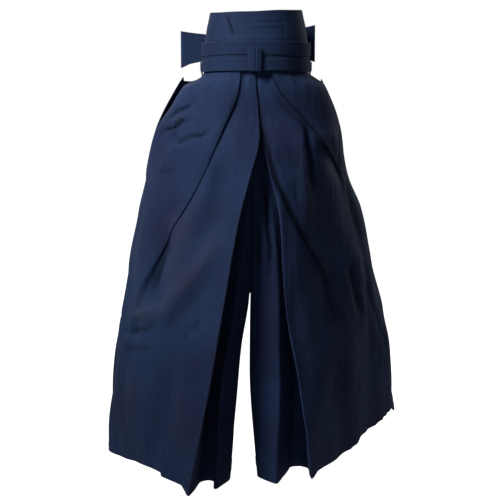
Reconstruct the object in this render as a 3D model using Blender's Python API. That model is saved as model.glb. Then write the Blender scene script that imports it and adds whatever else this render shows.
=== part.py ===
"""Pleated hakama trousers as worn, with their sash, as thin cloth solids in metres."""

import math

import bpy
import bmesh
import numpy as np

MM = 0.001

# Cloth, in millimetres
WALL = 1.1
BAND_WALL = 1.6
LAYER = 2.8
SEAM_GAP = 0.5

# Heights of the section tables, from the waist down
LEVELS = (10.0, -60.0, -160.0, -250.0, -330.0, -500.0, -690.0, -920.0)
GAP_LEVELS = (10.0, -330.0, -500.0, -920.0)
FIRST_FREE_LEVEL = 2
BLEND_FROM = -105.0
BLEND_TO = -200.0
BEND_SHARE = 0.12

# Waist oval that the flat pleats lie on: z, half width right, half width left, front depth, centre y
WAIST_OVAL = (
    (10.0, 112.0, 112.0, 96.0, 0.0),
    (-31.0, 113.6, 113.6, 96.8, 0.0),
    (-41.0, 119.0, 126.0, 98.4, 0.0),
    (-60.0, 152.0, 152.0, 103.0, 0.0),
    (-100.0, 183.0, 170.0, 113.0, 6.0),
    (-160.0, 221.0, 188.0, 129.0, 18.0),
    (-260.0, 246.0, 202.0, 145.0, 30.0),
)

# Rows of cloth down each panel, as heights of a panel that hangs to the lowest hem
ROW_HEIGHTS = (
    6, -14, -28, -40, -54, -74, -100, -132, -170, -212, -262,
    -318, -378, -440, -505, -550, -595, -645, -700, -775, -850, -920,
)
SLIT_FOOT = -170.0

# Each row is a fold line: name, layer at the waist, samples round it, samples to the next,
# x at LEVELS, y at the free levels, width of the bend at GAP_LEVELS, top z, hem z
FRONT_RIGHT = (
    ("side", 0, 1, 1, (-112, -152, -221, -244, -257, -290, -322, -334),
     (20, 28, 30, 30, 30, 30), (2, 2, 2, 2), 6, -889),
    ("side_bend", 0, 3, 1, (-85, -110, -152, -198, -225, -277, -311, -324),
     (-90, -62, -48, -6, 2, 6), (20, 40, 20, 16), 6, -890),
    ("pleat_2", 0.5, 5, 2, (-30, -36, -76, -116, -157, -252, -296, -308),
     (-126, -130, -122, -50, -22, -12), (3.4, 3.2, 3, 12), 6, -890),
    ("pleat_2_inside", 1.5, 5, 0, (-86, -96, -121, -144, -172, -240, -284, -294),
     (-100, -98, -98, -55, -37, -27), (2.8, 2.8, 3, 12), 6, -890),
    ("face_outer", 2, 3, 1, (-62, -70, -85, -105, -130, -198, -228, -232),
     (-117, -124, -125, -108, -112, -113), (12, 16, 50, 60), 6, -886),
    ("face_inner", 2, 3, 1, (-35, -36, -30, -50, -78, -130, -160, -188),
     (-127, -140, -146, -152, -172, -176), (12, 20, 50, 40), 6, -896),
    ("pleat_1", 2.5, 5, 1, (-6, -1, 14, -7, -34, -66, -99, -147),
     (-129, -147, -162, -188, -212, -232), (2.8, 2.8, 2.8, 3.2), 6, -913),
    ("pleat_1_inside", 3.5, 5, 0, (-58, -62, -58, -62, -76, -91, -102, -115),
     (-116, -122, -122, -118, -114, -112), (2.8, 3, 10, 16), 6, -917),
    ("valley", 4, 3, 0, (-46, -48, -46, -50, -58, -72, -83, -95),
     (-112, -115, -112, -106, -104, -109), (6, 6, 10, 14), 6, -917),
    ("pleat_0", 4, 3, 0, (-32, -32, -26, -19, -18, -42, -71, -88),
     (-113, -117, -121, -130, -143, -166), (5, 4, 4, 4), 6, -918),
    ("inner_bend", 4.6, 3, 1, (-18, -18, -16, -13, -11.8, -20, -42, -60),
     (-110, -112, -112, -103, -98, -106), (3, 3, 6, 12), 6, -917),
    ("inseam", 7, 1, 0, (-12.8, -12.8, -11.8, -9.5, -8.8, -14.2, -40, -57),
     (-104, -105, -104, -95, -14, -18), (2, 2, 2, 2), 6, -915),
)

FRONT_LEFT = (
    ("side", 0, 1, 1, (112, 150, 189, 202, 228, 272, 312, 332),
     (30, 45, 60, 90, 130, 190), (2, 2, 2, 2), 6, -825),
    ("side_bend", 0, 3, 1, (85, 108, 166, 199, 221, 266, 307, 321),
     (-52, 24, 40, 70, 112, 170), (20, 12, 12, 12), 6, -830),
    ("pleat_2", 0.5, 5, 2, (20, 43, 131, 191, 210, 253, 297, 308),
     (-95, 4, 22, 52, 94, 152), (2.8, 2.8, 6, 12), 6, -836),
    ("pleat_2_inside", 1.5, 5, 0, (76, 95, 142, 182, 200, 245, 289, 296),
     (-72, -6, 9, 36, 78, 134), (2.8, 2.8, 6, 12), 6, -842),
    ("face_outer", 2.4, 3, 0, (48, 66, 98, 150, 174, 228, 270, 268),
     (-105, -68, -38, 8, 46, 100), (12, 26, 16, 16), 6, -850),
    ("face_inner", 3.2, 3, 1, (24, 34, 58, 98, 128, 199, 248, 244),
     (-119, -112, -90, -28, 14, 60), (12, 20, 16, 16), 6, -857),
    ("pleat_1", 4.5, 5, 1, (-9, -6, 10, 36, 71, 169, 225, 221),
     (-122, -137, -126, -62, -14, 20), (2.8, 2.8, 3, 14), 6, -872),
    ("pleat_1_inside", 5.5, 5, 0, (44, 50, 62, 74, 95, 157, 208, 204),
     (-103, -114, -104, -68, -36, -10), (2.8, 2.8, 3, 14), 6, -877),
    ("strip_bend", 6, 3, 0, (20, 24, 34, 52, 72, 112, 152, 158),
     (-110, -125, -121, -111, -100, -98), (8, 10, 40, 50), 6, -885),
    ("pleat_0", 6.5, 5, 1, (-5, -2, 7, 28, 48, 60, 92, 125),
     (-113, -130, -132, -142, -153, -163), (2.8, 2.8, 2.8, 3.2), 6, -897),
    ("pleat_0_inside", 7.5, 3, 0, (38, 42, 50, 62, 78, 98, 106, 108),
     (-99, -110, -99, -76, -52, -32), (2.8, 5, 12, 16), 6, -910),
    ("valley", 8, 3, 0, (30, 34, 40, 50, 62, 78, 84, 84),
     (-96, -105, -92, -66, -41, -26), (6, 8, 12, 16), 6, -911),
    ("inner_edge", 8, 3, 0, (8, 8, 9, 14, 24, 24, 26, 32),
     (-99, -108, -113, -119, -133, -151), (5, 5, 5, 5), 6, -912),
    ("inner_bend", 8.6, 3, 1, (-7, -7, -6.5, -5, -4.2, -6.5, -10, 6),
     (-98, -106, -111, -107, -101, -103), (3, 3, 6, 12), 6, -912),
    ("inseam", 10.4, 1, 0, (-11.2, -11.2, -10.2, -7.9, -7.2, -11.6, -13, 2),
     (-92, -100, -103, -94, -13, -18), (2, 2, 2, 2), 6, -911),
)

# Back panels hang from the back board: y at every level
BACK_TOP = -24.9
BACK_RIGHT = (
    ("side", 0, 1, 1, (-126, -174, -223, -244, -257, -290, -322, -334),
     (66, 62, 36, 28.5, 30.5, 30.5, 30.5, 30.5), (2, 2, 2, 2), -42, -889),
    ("side_bend", 0, 3, 1, (-116, -152, -208, -232, -248, -283, -316, -322),
     (84, 98, 104, 106, 112, 122, 132, 146), (20, 40, 50, 60), -52, -896),
    ("back_bend", 0, 3, 2, (-84, -98, -128, -146, -160, -190, -214, -226),
     (98.5, 124, 156, 172, 184, 208, 230, 250), (20, 50, 70, 80), -26, -904),
    ("pleat_b", 0.5, 5, 1, (-2.2, -3.5, -9, -19, -31, -60, -88, -112),
     (98.5, 126.5, 165, 183, 197, 226, 252, 274), (2.8, 2.8, 2.8, 4), BACK_TOP, -908),
    ("pleat_b_inside", 1.5, 5, 0, (-56, -60, -70, -80, -90, -106, -118, -130),
     (97, 121, 150, 162, 170, 184, 196, 206), (2.8, 3, 8, 14), BACK_TOP, -908),
    ("inner_bend", 2.5, 3, 1, (-7, -7, -9, -12, -15, -30, -56, -72),
     (95, 120, 150, 162, 168, 176, 186, 196), (6, 8, 20, 24), BACK_TOP, -908),
    ("inseam", 4, 1, 0, (-1.3, -1.3, -2.0, -3.0, -4.5, -11.2, -40, -57),
     (89, 113, 142, 153, 158, 160, -13.5, -17.5), (2, 2, 2, 2), BACK_TOP, -915),
)

BACK_LEFT = (
    ("side", 0, 1, 1, (120, 152, 190, 202, 228, 272, 312, 332),
     (62, 58, 46, 45.5, 60.5, 90.5, 130.5, 190.5), (2, 2, 2, 2), -46, -825),
    ("side_bend", 0, 3, 1, (112, 140, 182, 200, 222, 266, 306, 330),
     (84, 98, 112, 118, 134, 168, 204, 258), (20, 36, 40, 50), -52, -842),
    ("back_bend", 0, 3, 2, (84, 97, 124, 142, 158, 192, 220, 240),
     (98.5, 124, 156, 173, 187, 216, 246, 290), (20, 50, 70, 80), -26, -868),
    ("pleat_b", 0.5, 5, 1, (2.2, 3.5, 9, 19, 31, 60, 90, 118),
     (98.5, 126.5, 165, 183, 198, 228, 256, 284), (2.8, 2.8, 2.8, 4), BACK_TOP, -888),
    ("pleat_b_inside", 1.5, 5, 0, (56, 60, 70, 80, 90, 104, 112, 120),
     (97, 121, 150, 162, 170, 184, 198, 210), (2.8, 3, 8, 14), BACK_TOP, -892),
    ("inner_bend", 2.5, 3, 1, (7, 7, 8, 9, 10, 12, 14, 24),
     (95, 120, 150, 162, 168, 176, 186, 196), (6, 8, 20, 24), BACK_TOP, -900),
    ("inseam", 4, 1, 0, (1.3, 1.3, 0.6, -0.4, -1.9, -8.6, -13, 2),
     (89, 113, 142, 153, 158, 160, -12.5, -17.5), (2, 2, 2, 2), BACK_TOP, -911),
)

# Crotch gusset: its ridge and the foot of its two lobes
GUSSET_RIDGE = -500.0
INSEAM_TOP = -685.0
GUSSET_FOOT = -670.0
GUSSET_COLUMNS = 10
GUSSET_RISE = 1.3

# Bands round the waist: name, z low, z high, half width, front depth, back depth
WAIST_BANDS = (
    ("himo_inner_wrap", 1.0, 30.0, 115.4, 98.6, 88.5),
    ("himo_upper_wrap", 7.5, 36.0, 118.4, 101.6, 91.5),
    ("himo_lower_wrap", -26.0, -0.5, 118.0, 101.4, 91.5),
)
SIDE_DROP = 4.0
BAND_STEPS = 40

# Sash: z, half width, front depth, back depth
OBI_RINGS = (
    (12.0, 113.1, 95.6, 86.3),
    (36.0, 110.6, 91.0, 85.4),
    (66.0, 106.0, 86.0, 83.0),
    (86.0, 101.5, 82.5, 80.0),
    (99.0, 99.0, 81.0, 78.5),
)
OBI_TILT = math.tan(math.radians(1.8))
OBI_WALL = 2.0

# Flat bow of the sash behind the waist
BOW_RIGHT_END = -168.0
BOW_LEFT_END = 132.0
BOW_HEIGHT = 78.0
BOW_MIDDLE = (-18.0, 27.5)
BOW_TILT = math.tan(math.radians(2.6))
BOW_Y = (95.9, 105.9)
BOW_WALL = 1.8
BOW_GAP = 1.0
BOW_KNOT_WIDTH = 36.0
BOW_KNOT_RISE = 3.5
BOW_KNOT_PROUD = 2.4

# Back board that the back panels hang from: half width at foot and top, heights, y, thickness
BOARD_FOOT = 118.0
BOARD_TOP = 88.0
BOARD_Z = (-24.0, 66.0)
BOARD_Y = 112.4
BOARD_WALL = 5.0

# Knot at the front
KNOT_X = (-18.5, 13.5)
KNOT_Z = (-28.0, 23.0)
KNOT_BACK = -103.6
KNOT_DEPTH = 7.0
KNOT_CORNER = 3.0

# Ties from the board's foot forward under the bow to the side, as their middle line on the left
BACK_TIE_WIDTH = 20.0
BACK_TIE_PATH = (
    (102.0, 108.7, -13.0),
    (110.0, 108.9, -14.0),
    (116.0, 108.9, -17.5),
    (120.2, 109.2, -23.5),
    (123.4, 108.4, -28.8),
    (126.0, 103.0, -31.0),
    (125.6, 90.0, -30.6),
    (124.6, 66.0, -29.0),
    (124.4, 44.0, -25.0),
    (123.2, 18.0, -20.0),
    (122.0, 0.0, -17.0),
)

NAVY = (0.020, 0.030, 0.055, 1.0)
NAVY_BAND = (0.017, 0.025, 0.046, 1.0)


def clear_scene():
    """Removes the start-up objects and their data."""
    for item in list(bpy.data.objects):
        bpy.data.objects.remove(item, do_unlink=True)
    for block in list(bpy.data.meshes):
        bpy.data.meshes.remove(block)


def smooth_through(knots, values, z):
    """Cubic through (knot, value) pairs that never overshoots, with knots falling."""
    knots = np.asarray(knots, float)[::-1]
    values = np.asarray(values, float)[::-1]
    z = np.clip(np.asarray(z, float), knots[0], knots[-1])
    steps = np.diff(knots)
    secants = np.diff(values) / steps
    slopes = np.empty(len(knots))
    slopes[0] = secants[0]
    slopes[-1] = secants[-1]
    product = secants[:-1] * secants[1:]
    total = steps[:-1] + steps[1:]
    low = (total + steps[:-1]) / np.where(product > 0, secants[1:], 1.0)
    high = (total + steps[1:]) / np.where(product > 0, secants[:-1], 1.0)
    slopes[1:-1] = np.where(product > 0, 3 * total / (low + high), 0.0)
    index = np.clip(np.searchsorted(knots, z, side="right") - 1, 0, len(steps) - 1)
    width = steps[index]
    t = (z - knots[index]) / width
    h00 = (1 + 2 * t) * (1 - t) ** 2
    h10 = t * (1 - t) ** 2
    h01 = t * t * (3 - 2 * t)
    h11 = t * t * (t - 1)
    start = h00 * values[index] + h10 * width * slopes[index]
    return start + h01 * values[index + 1] + h11 * width * slopes[index + 1]


def linear_through(knots, values, z):
    """Straight lines through (knot, value) pairs, with knots falling."""
    return np.interp(z, np.asarray(knots, float)[::-1], np.asarray(values, float)[::-1])


def waist_oval(z, side):
    """Half width, depth and centre y of the waist oval at the heights z."""
    knots = [row[0] for row in WAIST_OVAL]
    column = 1 if side < 0 else 2
    return [
        smooth_through(knots, [row[k] for row in WAIST_OVAL], z) for k in (column, 3, 4)
    ]


def unit(vector):
    """Vectors of length 1 along the last axis."""
    length = np.linalg.norm(vector, axis=-1, keepdims=True)
    return vector / np.maximum(length, 1e-9)


def rounded(before, after, gaps, counts, spans):
    """Curve through doubled corners, as (sample, height, 2), with the corner number of each."""
    last = len(gaps) - 1
    ends = ((before[0] + after[0]) / 2, (before[last] + after[last]) / 2)
    samples = [ends[0]]
    places = [0.0]
    for k in range(1, last + 1):
        samples += [None] * spans[k - 1]
        places += [None] * spans[k - 1]
        if k == last:
            break
        previous = ends[0] if k == 1 else after[k - 1]
        following = ends[1] if k == last - 1 else before[k + 1]
        first = stop_short(before[k], previous, gaps[k] / 2)
        final = stop_short(after[k], following, gaps[k] / 2)
        arcs = bend_samples(first, before[k], after[k], final, counts[k])
        samples += arcs
        places += [k + BEND_SHARE * (2 * n / (len(arcs) - 1) - 1) for n in range(len(arcs))]
    samples.append(ends[1])
    places.append(float(last))
    return fill_spans(samples, places)


def stop_short(corner, toward, distance):
    """Point on the way from a corner to the next one, never past the middle."""
    reach = np.linalg.norm(toward - corner, axis=-1)
    return corner + unit(toward - corner) * np.minimum(distance, 0.45 * reach)[:, None]


def bend_samples(first, before, after, final, count):
    """Samples of the two arcs that round a doubled corner."""
    middle = (before + after) / 2
    if count == 3:
        return [first, middle, final]
    steps = (count - 1) // 2
    found = []
    for step in range(steps):
        t = step / steps
        found.append((1 - t) ** 2 * first + 2 * t * (1 - t) * before + t * t * middle)
    for step in range(steps + 1):
        t = step / steps
        found.append((1 - t) ** 2 * middle + 2 * t * (1 - t) * after + t * t * final)
    return found


def fill_spans(samples, places):
    """Puts the samples that lie between two corners on the straight line between them."""
    known = [index for index, place in enumerate(places) if place is not None]
    for low, high in zip(known, known[1:]):
        for index in range(low + 1, high):
            share = (index - low) / (high - low)
            samples[index] = samples[low] * (1 - share) + samples[high] * share
            places[index] = places[low] * (1 - share) + places[high] * share
    return np.array(samples), np.array(places)


def doubled(corners, gaps):
    """Splits each corner into two, gap apart, square to the line that halves its angle."""
    to_before = unit(np.roll(corners, 1, axis=0) - corners)
    to_after = unit(np.roll(corners, -1, axis=0) - corners)
    across = unit(to_after - to_before)
    shift = across * gaps[..., None] / 2
    shift[0] = 0.0
    shift[-1] = 0.0
    return corners - shift, corners + shift


def flat_section(rows, z, side):
    """Section where the pleats lie flat on the waist oval."""
    half, depth, centre = waist_oval(z, side)
    before = []
    after = []
    gaps = []
    for row in rows:
        x = smooth_through(LEVELS, row[4], z)
        along = np.arcsin(np.clip(x / half, -0.995, 0.995)) * half
        gap = linear_through(GAP_LEVELS, row[6], z)
        knife = row[1] % 1 == 0.5 and row[2] >= 3
        level = np.full_like(z, row[1] * LAYER)
        if knife:
            before.append(np.stack([along, level - LAYER / 2], axis=-1))
            after.append(np.stack([along, level + LAYER / 2], axis=-1))
            gaps.append(np.full_like(z, LAYER))
        else:
            toward = side * gap / 2 if 0 < len(before) < len(rows) - 1 else 0 * gap
            before.append(np.stack([along + toward, level], axis=-1))
            after.append(np.stack([along - toward, level], axis=-1))
            gaps.append(gap)
    counts = [row[2] for row in rows]
    spans = [row[3] for row in rows]
    flat, places = rounded(np.array(before), np.array(after), np.array(gaps), counts, spans)
    angle = flat[..., 0] / half
    inward = -np.stack([np.sin(angle) / half, -np.cos(angle) / depth], axis=-1)
    inward = unit(inward)
    x = half * np.sin(angle) + inward[..., 0] * flat[..., 1]
    y = centre - depth * np.cos(angle) + inward[..., 1] * flat[..., 1]
    return np.stack([x, y], axis=-1), places


def free_section(rows, z, side, from_waist):
    """Section where the folds stand as the tables say."""
    corners = []
    gaps = []
    for row in rows:
        x = smooth_through(LEVELS, row[4], z)
        y_values = list(row[5])
        if from_waist:
            y_values = waist_depths(row, side) + y_values
        y = smooth_through(LEVELS, y_values, z)
        corners.append(np.stack([x, y], axis=-1))
        gaps.append(linear_through(GAP_LEVELS, row[6], z))
    gaps = np.array(gaps)
    before, after = doubled(np.array(corners), gaps)
    counts = [row[2] for row in rows]
    spans = [row[3] for row in rows]
    return rounded(before, after, gaps, counts, spans)


def waist_depths(row, side):
    """y of a fold at the levels above the free ones, from its place on the waist oval."""
    found = []
    for level, x in zip(LEVELS[:FIRST_FREE_LEVEL], row[4]):
        half, depth, centre = [float(v) for v in waist_oval(np.array(level), side)]
        share = min(abs(x) / half, 0.995)
        found.append(centre - (depth - row[1] * LAYER) * math.sqrt(1 - share * share))
    return found


def panel_grid(rows, side, from_waist, heights=ROW_HEIGHTS):
    """Points of a panel's middle surface in millimetres, as (row, column, 3)."""
    fine = np.linspace(LEVELS[0], LEVELS[-1], 240)
    free, places = free_section(rows, fine, side, from_waist)
    if from_waist:
        flat, _ = flat_section(rows, fine, side)
        share = np.clip((BLEND_FROM - fine) / (BLEND_FROM - BLEND_TO), 0, 1)
        share = (share * share * (3 - 2 * share))[None, :, None]
        free = flat * (1 - share) + free * share
    numbers = np.arange(len(rows))
    top = np.interp(places, numbers, [row[7] for row in rows])
    hem = np.interp(places, numbers, [row[8] for row in rows])
    heights = np.array(heights, float)
    upper = (heights - SLIT_FOOT) / (heights[0] - SLIT_FOOT)
    lower = (SLIT_FOOT - heights) / (SLIT_FOOT - heights[-1])
    grid = np.empty((len(heights), len(places), 3))
    for column in range(len(places)):
        above = SLIT_FOOT + upper * (top[column] - SLIT_FOOT)
        below = SLIT_FOOT + lower * (hem[column] - SLIT_FOOT)
        z = np.where(heights > SLIT_FOOT, above, below)
        grid[:, column, 0] = np.interp(-z, -fine, free[column, :, 0])
        grid[:, column, 1] = np.interp(-z, -fine, free[column, :, 1])
        grid[:, column, 2] = z
    return grid


def normals_of(grid, closed_columns=False):
    """Normals of a grid of points."""
    if closed_columns:
        across = np.roll(grid, -1, axis=1) - np.roll(grid, 1, axis=1)
    else:
        across = np.gradient(grid, axis=1)
    down = np.gradient(grid, axis=0)
    return unit(np.cross(across, down))


def sheet_faces(rows, columns, closed_columns):
    """Quads of two faces of a grid and of the rims that join them."""
    count = rows * columns
    faces = []
    last = columns if closed_columns else columns - 1
    for i in range(rows - 1):
        for j in range(last):
            a = i * columns + j
            b = i * columns + (j + 1) % columns
            c = b + columns
            d = a + columns
            faces.append((a, b, c, d))
            faces.append((count + d, count + c, count + b, count + a))
    for j in range(last):
        a = j
        b = (j + 1) % columns
        faces.append((count + a, count + b, b, a))
        a += (rows - 1) * columns
        b += (rows - 1) * columns
        faces.append((a, b, count + b, count + a))
    if not closed_columns:
        for i in range(rows - 1):
            a = i * columns
            b = a + columns
            faces.append((a, b, count + b, count + a))
            a += columns - 1
            b += columns - 1
            faces.append((count + a, count + b, b, a))
    return faces


def make_solid(name, points, faces, colour):
    """Makes a closed body with its own material from points in millimetres."""
    mesh = bpy.data.meshes.new(name)
    mesh.from_pydata([tuple(p * MM) for p in points], [], faces)
    builder = bmesh.new()
    builder.from_mesh(mesh)
    bmesh.ops.recalc_face_normals(builder, faces=builder.faces[:])
    if builder.calc_volume(signed=True) < 0:
        bmesh.ops.reverse_faces(builder, faces=builder.faces[:])
    bmesh.ops.triangulate(builder, faces=builder.faces[:])
    builder.to_mesh(mesh)
    builder.free()
    material = bpy.data.materials.new(name + "_cloth")
    material.use_nodes = True
    shader = material.node_tree.nodes["Principled BSDF"]
    shader.inputs["Base Color"].default_value = colour
    shader.inputs["Roughness"].default_value = 0.82
    shader.inputs["Metallic"].default_value = 0.0
    mesh.materials.append(material)
    solid = bpy.data.objects.new(name, mesh)
    bpy.context.scene.collection.objects.link(solid)
    return solid


def square_edges(normal, grid, columns):
    """Turns the normals of edge columns square to y, so that the ends of two pieces face each other."""
    along_y = np.array([0.0, 1.0, 0.0])
    for column in columns:
        down = np.gradient(grid[:, column], axis=0)
        square = unit(np.cross(down, along_y))
        sign = np.sign((square * normal[:, column]).sum(axis=-1, keepdims=True))
        normal[:, column] = square * np.where(sign == 0, 1, sign)


def make_sheet(name, grid, wall, colour=NAVY, closed_columns=False, square=(), normal=None):
    """Makes a cloth solid of the given wall on a grid of middle points."""
    if normal is None:
        normal = normals_of(grid, closed_columns)
    square_edges(normal, grid, square)
    rows, columns = grid.shape[:2]
    outer = (grid + normal * wall / 2).reshape(-1, 3)
    inner = (grid - normal * wall / 2).reshape(-1, 3)
    points = np.concatenate([outer, inner])
    return make_solid(name, points, sheet_faces(rows, columns, closed_columns), colour)


def follow_seams(back, front):
    """Moves the side and inseam edges of a back panel to those of its front panel."""
    gap = np.array([0.0, SEAM_GAP, 0.0])
    for column, foot in ((0, SLIT_FOOT - 50), (-1, INSEAM_TOP)):
        rows = back[:, column, 2] < foot
        back[rows, column] = front[rows, column] + gap


def gusset_grid(fronts, backs):
    """Middle surface and normals of the gusset: up one leg, over the ridge, down the other."""
    rows = []
    normals = []
    for front, back, order in ((fronts[0], backs[0], 1), (fronts[1], backs[1], -1)):
        wall = []
        for start, end in list(zip(front[:, -1], back[:, -1]))[::-order]:
            if not GUSSET_FOOT < start[2] < GUSSET_RIDGE:
                continue
            shares = np.linspace(0, 1, GUSSET_COLUMNS)[:, None]
            gap = np.array([0.0, SEAM_GAP, 0.0])
            wall.append((start + gap) * (1 - shares) + (end - gap) * shares)
        if order == 1:
            ridge_from = wall[-1]
        else:
            middle = (ridge_from + wall[0]) / 2
            middle[:, 2] = wall[0][:, 2].max() + GUSSET_RISE
            rows.append(middle)
            normals.append(np.tile([0.0, 0.0, 1.0], (len(middle), 1)))
        rows += wall
        flat = normals_of(np.array(wall))
        sign = np.sign(flat[..., :1]) * -order
        flat = flat * sign
        square_edges(flat, np.array(wall), (0, -1))
        normals += list(flat)
    return np.array(rows), np.array(normals)


def ring_points(half, front, back, steps):
    """Points of an oval round the waist, going from the right side round the front."""
    angle = np.arange(steps) / steps * 2 * math.pi
    x = -half * np.cos(angle)
    sine = np.sin(angle)
    y = np.where(sine > 0, -front * sine, -back * sine)
    return np.stack([x, y, np.zeros(steps)], axis=-1)


def band_grid(row):
    """Middle surface of a band round the waist that drops a little at the sides."""
    _, low, high, half, front, back = row
    ring = ring_points(half, front, back, BAND_STEPS)
    drop = SIDE_DROP * (ring[:, 0] / half) ** 2
    grid = []
    for z in (high, low):
        level = ring.copy()
        level[:, 2] = z - drop
        grid.append(level)
    return np.array(grid)


def obi_grid():
    """Middle surface of the sash, which tapers up and tilts a little."""
    grid = []
    for z, half, front, back in OBI_RINGS[::-1]:
        level = ring_points(half, front, back, BAND_STEPS)
        level[:, 2] = z + level[:, 0] * OBI_TILT
        grid.append(level)
    return np.array(grid)


def bow_loop_grid(end, inner):
    """Middle surface of one loop of the bow: out along the front, round the end, back behind."""
    radius = (BOW_Y[1] - BOW_Y[0]) / 2
    middle_y = sum(BOW_Y) / 2
    side = math.copysign(1, end - inner)
    turn = end - side * radius
    path = [(x, BOW_Y[0]) for x in np.linspace(inner, turn, 5)]
    for step in range(1, 6):
        angle = math.pi * step / 6
        path.append((turn + side * radius * math.sin(angle), middle_y - radius * math.cos(angle)))
    path += [(x, BOW_Y[1]) for x in np.linspace(turn, inner, 5)]
    path = np.array(path)
    grid = []
    for share in np.linspace(0.5, -0.5, 4):
        z = BOW_MIDDLE[1] + share * BOW_HEIGHT + (path[:, 0] - BOW_MIDDLE[0]) * BOW_TILT
        grid.append(np.stack([path[:, 0], path[:, 1], z], axis=-1))
    return np.array(grid)


def loop_section(y_low, y_high, z_low, z_high, corner):
    """Closed rounded rectangle in the yz plane, as (y, z) pairs."""
    found = []
    centres = (
        (y_high - corner, z_high - corner, 0),
        (y_low + corner, z_high - corner, 90),
        (y_low + corner, z_low + corner, 180),
        (y_high - corner, z_low + corner, 270),
    )
    for y, z, start in centres:
        for step in range(4):
            angle = math.radians(start + 30 * step)
            found.append((y + corner * math.cos(angle), z + corner * math.sin(angle)))
    return found


def tie_grid(x_range, section, tilt_of):
    """Middle surface of a tie that goes round in the yz plane and is wide along x."""
    grid = []
    for x in np.linspace(x_range[0], x_range[1], 4):
        ring = [(x, y, z + tilt_of(x)) for y, z in section]
        grid.append(np.array(ring))
    return np.array(grid)


def board_solid():
    """Makes the back board: a stiff cloth-covered trapezium."""
    points = []
    for y in (BOARD_Y - BOARD_WALL / 2, BOARD_Y + BOARD_WALL / 2):
        points.append((-BOARD_FOOT, y, BOARD_Z[0]))
        points.append((BOARD_FOOT, y, BOARD_Z[0]))
        points.append((BOARD_TOP, y, BOARD_Z[1]))
        points.append((-BOARD_TOP, y, BOARD_Z[1]))
    faces = [(0, 1, 2, 3), (7, 6, 5, 4)]
    for a in range(4):
        b = (a + 1) % 4
        faces.append((a + 4, b + 4, b, a))
    return make_solid("koshi_board", np.array(points), faces, NAVY_BAND)


def back_tie_grid(side):
    """Middle surface of a tie from the board's foot forward under the bow to the side."""
    grid = []
    for share in (0.5, 0.0, -0.5):
        grid.append([(side * x, y, z + share * BACK_TIE_WIDTH) for x, y, z in BACK_TIE_PATH])
    return np.array(grid)


def make_trousers():
    """Makes the four leg panels and the gusset between them."""
    fronts = [panel_grid(FRONT_RIGHT, -1, True), panel_grid(FRONT_LEFT, 1, True)]
    backs = [panel_grid(BACK_RIGHT, -1, False), panel_grid(BACK_LEFT, 1, False)]
    for front, back in zip(fronts, backs):
        follow_seams(back, front)
    make_sheet("front_panel_right", fronts[0], WALL, square=(0, -1))
    make_sheet("front_panel_left", fronts[1], WALL, square=(0, -1))
    make_sheet("back_panel_right", backs[0], WALL, square=(0, -1))
    make_sheet("back_panel_left", backs[1], WALL, square=(0, -1))
    gusset, normal = gusset_grid(fronts, backs)
    make_sheet("crotch_gusset", gusset, WALL, normal=normal)


def make_waist():
    """Makes the ties, the back board and the sash with its bow."""
    for row in WAIST_BANDS:
        make_sheet(row[0], band_grid(row), BAND_WALL, NAVY_BAND, True)
    knot_front = KNOT_BACK - KNOT_DEPTH
    section = loop_section(knot_front, KNOT_BACK, KNOT_Z[0], KNOT_Z[1], KNOT_CORNER)
    make_sheet("himo_knot", tie_grid(KNOT_X, section, lambda x: 0.0), BAND_WALL, NAVY_BAND, True)
    make_sheet("himo_back_right", back_tie_grid(-1), BAND_WALL, NAVY_BAND)
    make_sheet("himo_back_left", back_tie_grid(1), BAND_WALL, NAVY_BAND)
    board_solid()
    make_sheet("obi_wrap", obi_grid(), OBI_WALL, NAVY_BAND, True)
    half = BOW_KNOT_WIDTH / 2
    inner = (BOW_MIDDLE[0] - BOW_GAP, BOW_MIDDLE[0] + BOW_GAP)
    make_sheet("obi_bow_right", bow_loop_grid(BOW_RIGHT_END, inner[0]), BOW_WALL, NAVY_BAND)
    make_sheet("obi_bow_left", bow_loop_grid(BOW_LEFT_END, inner[1]), BOW_WALL, NAVY_BAND)
    low = BOW_MIDDLE[1] - BOW_HEIGHT / 2 - BOW_KNOT_RISE
    high = BOW_MIDDLE[1] + BOW_HEIGHT / 2 + BOW_KNOT_RISE
    front = BOW_Y[0] - BOW_KNOT_PROUD
    back = BOW_Y[1] + BOW_KNOT_PROUD
    section = loop_section(front, back, low, high, BOW_KNOT_PROUD)
    middle = BOW_MIDDLE[0]
    grid = tie_grid((middle - half, middle + half), section, lambda x: (x - middle) * BOW_TILT)
    make_sheet("obi_bow_knot", grid, BAND_WALL, NAVY_BAND, True)


clear_scene()
make_trousers()
make_waist()
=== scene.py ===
"""Pleated hakama trousers with their sash: cloth shells, creases, finishes, light and camera.

Lengths are in millimetres until a mesh is made. X runs to the wearer's left, -Y to the front, Z up,
and the origin is the middle of the wound ties.
"""

from __future__ import annotations

import logging
import math
from collections.abc import Sequence
from dataclasses import dataclass, field
from enum import Enum

import bpy
import numpy as np
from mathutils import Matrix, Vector


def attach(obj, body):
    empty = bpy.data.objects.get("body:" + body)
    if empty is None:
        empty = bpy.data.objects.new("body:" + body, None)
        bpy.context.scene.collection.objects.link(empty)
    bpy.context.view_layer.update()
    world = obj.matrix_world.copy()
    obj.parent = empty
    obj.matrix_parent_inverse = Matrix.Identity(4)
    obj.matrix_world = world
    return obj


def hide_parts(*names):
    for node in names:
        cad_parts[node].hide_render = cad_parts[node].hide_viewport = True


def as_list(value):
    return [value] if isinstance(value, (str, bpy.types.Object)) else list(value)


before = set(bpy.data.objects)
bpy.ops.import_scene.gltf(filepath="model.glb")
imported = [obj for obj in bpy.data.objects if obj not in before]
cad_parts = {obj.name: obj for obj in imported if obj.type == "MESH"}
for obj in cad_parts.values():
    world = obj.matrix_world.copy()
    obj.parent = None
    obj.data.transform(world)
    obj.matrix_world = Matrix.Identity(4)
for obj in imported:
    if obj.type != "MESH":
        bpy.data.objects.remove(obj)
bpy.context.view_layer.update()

log = logging.getLogger("hakama")

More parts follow.
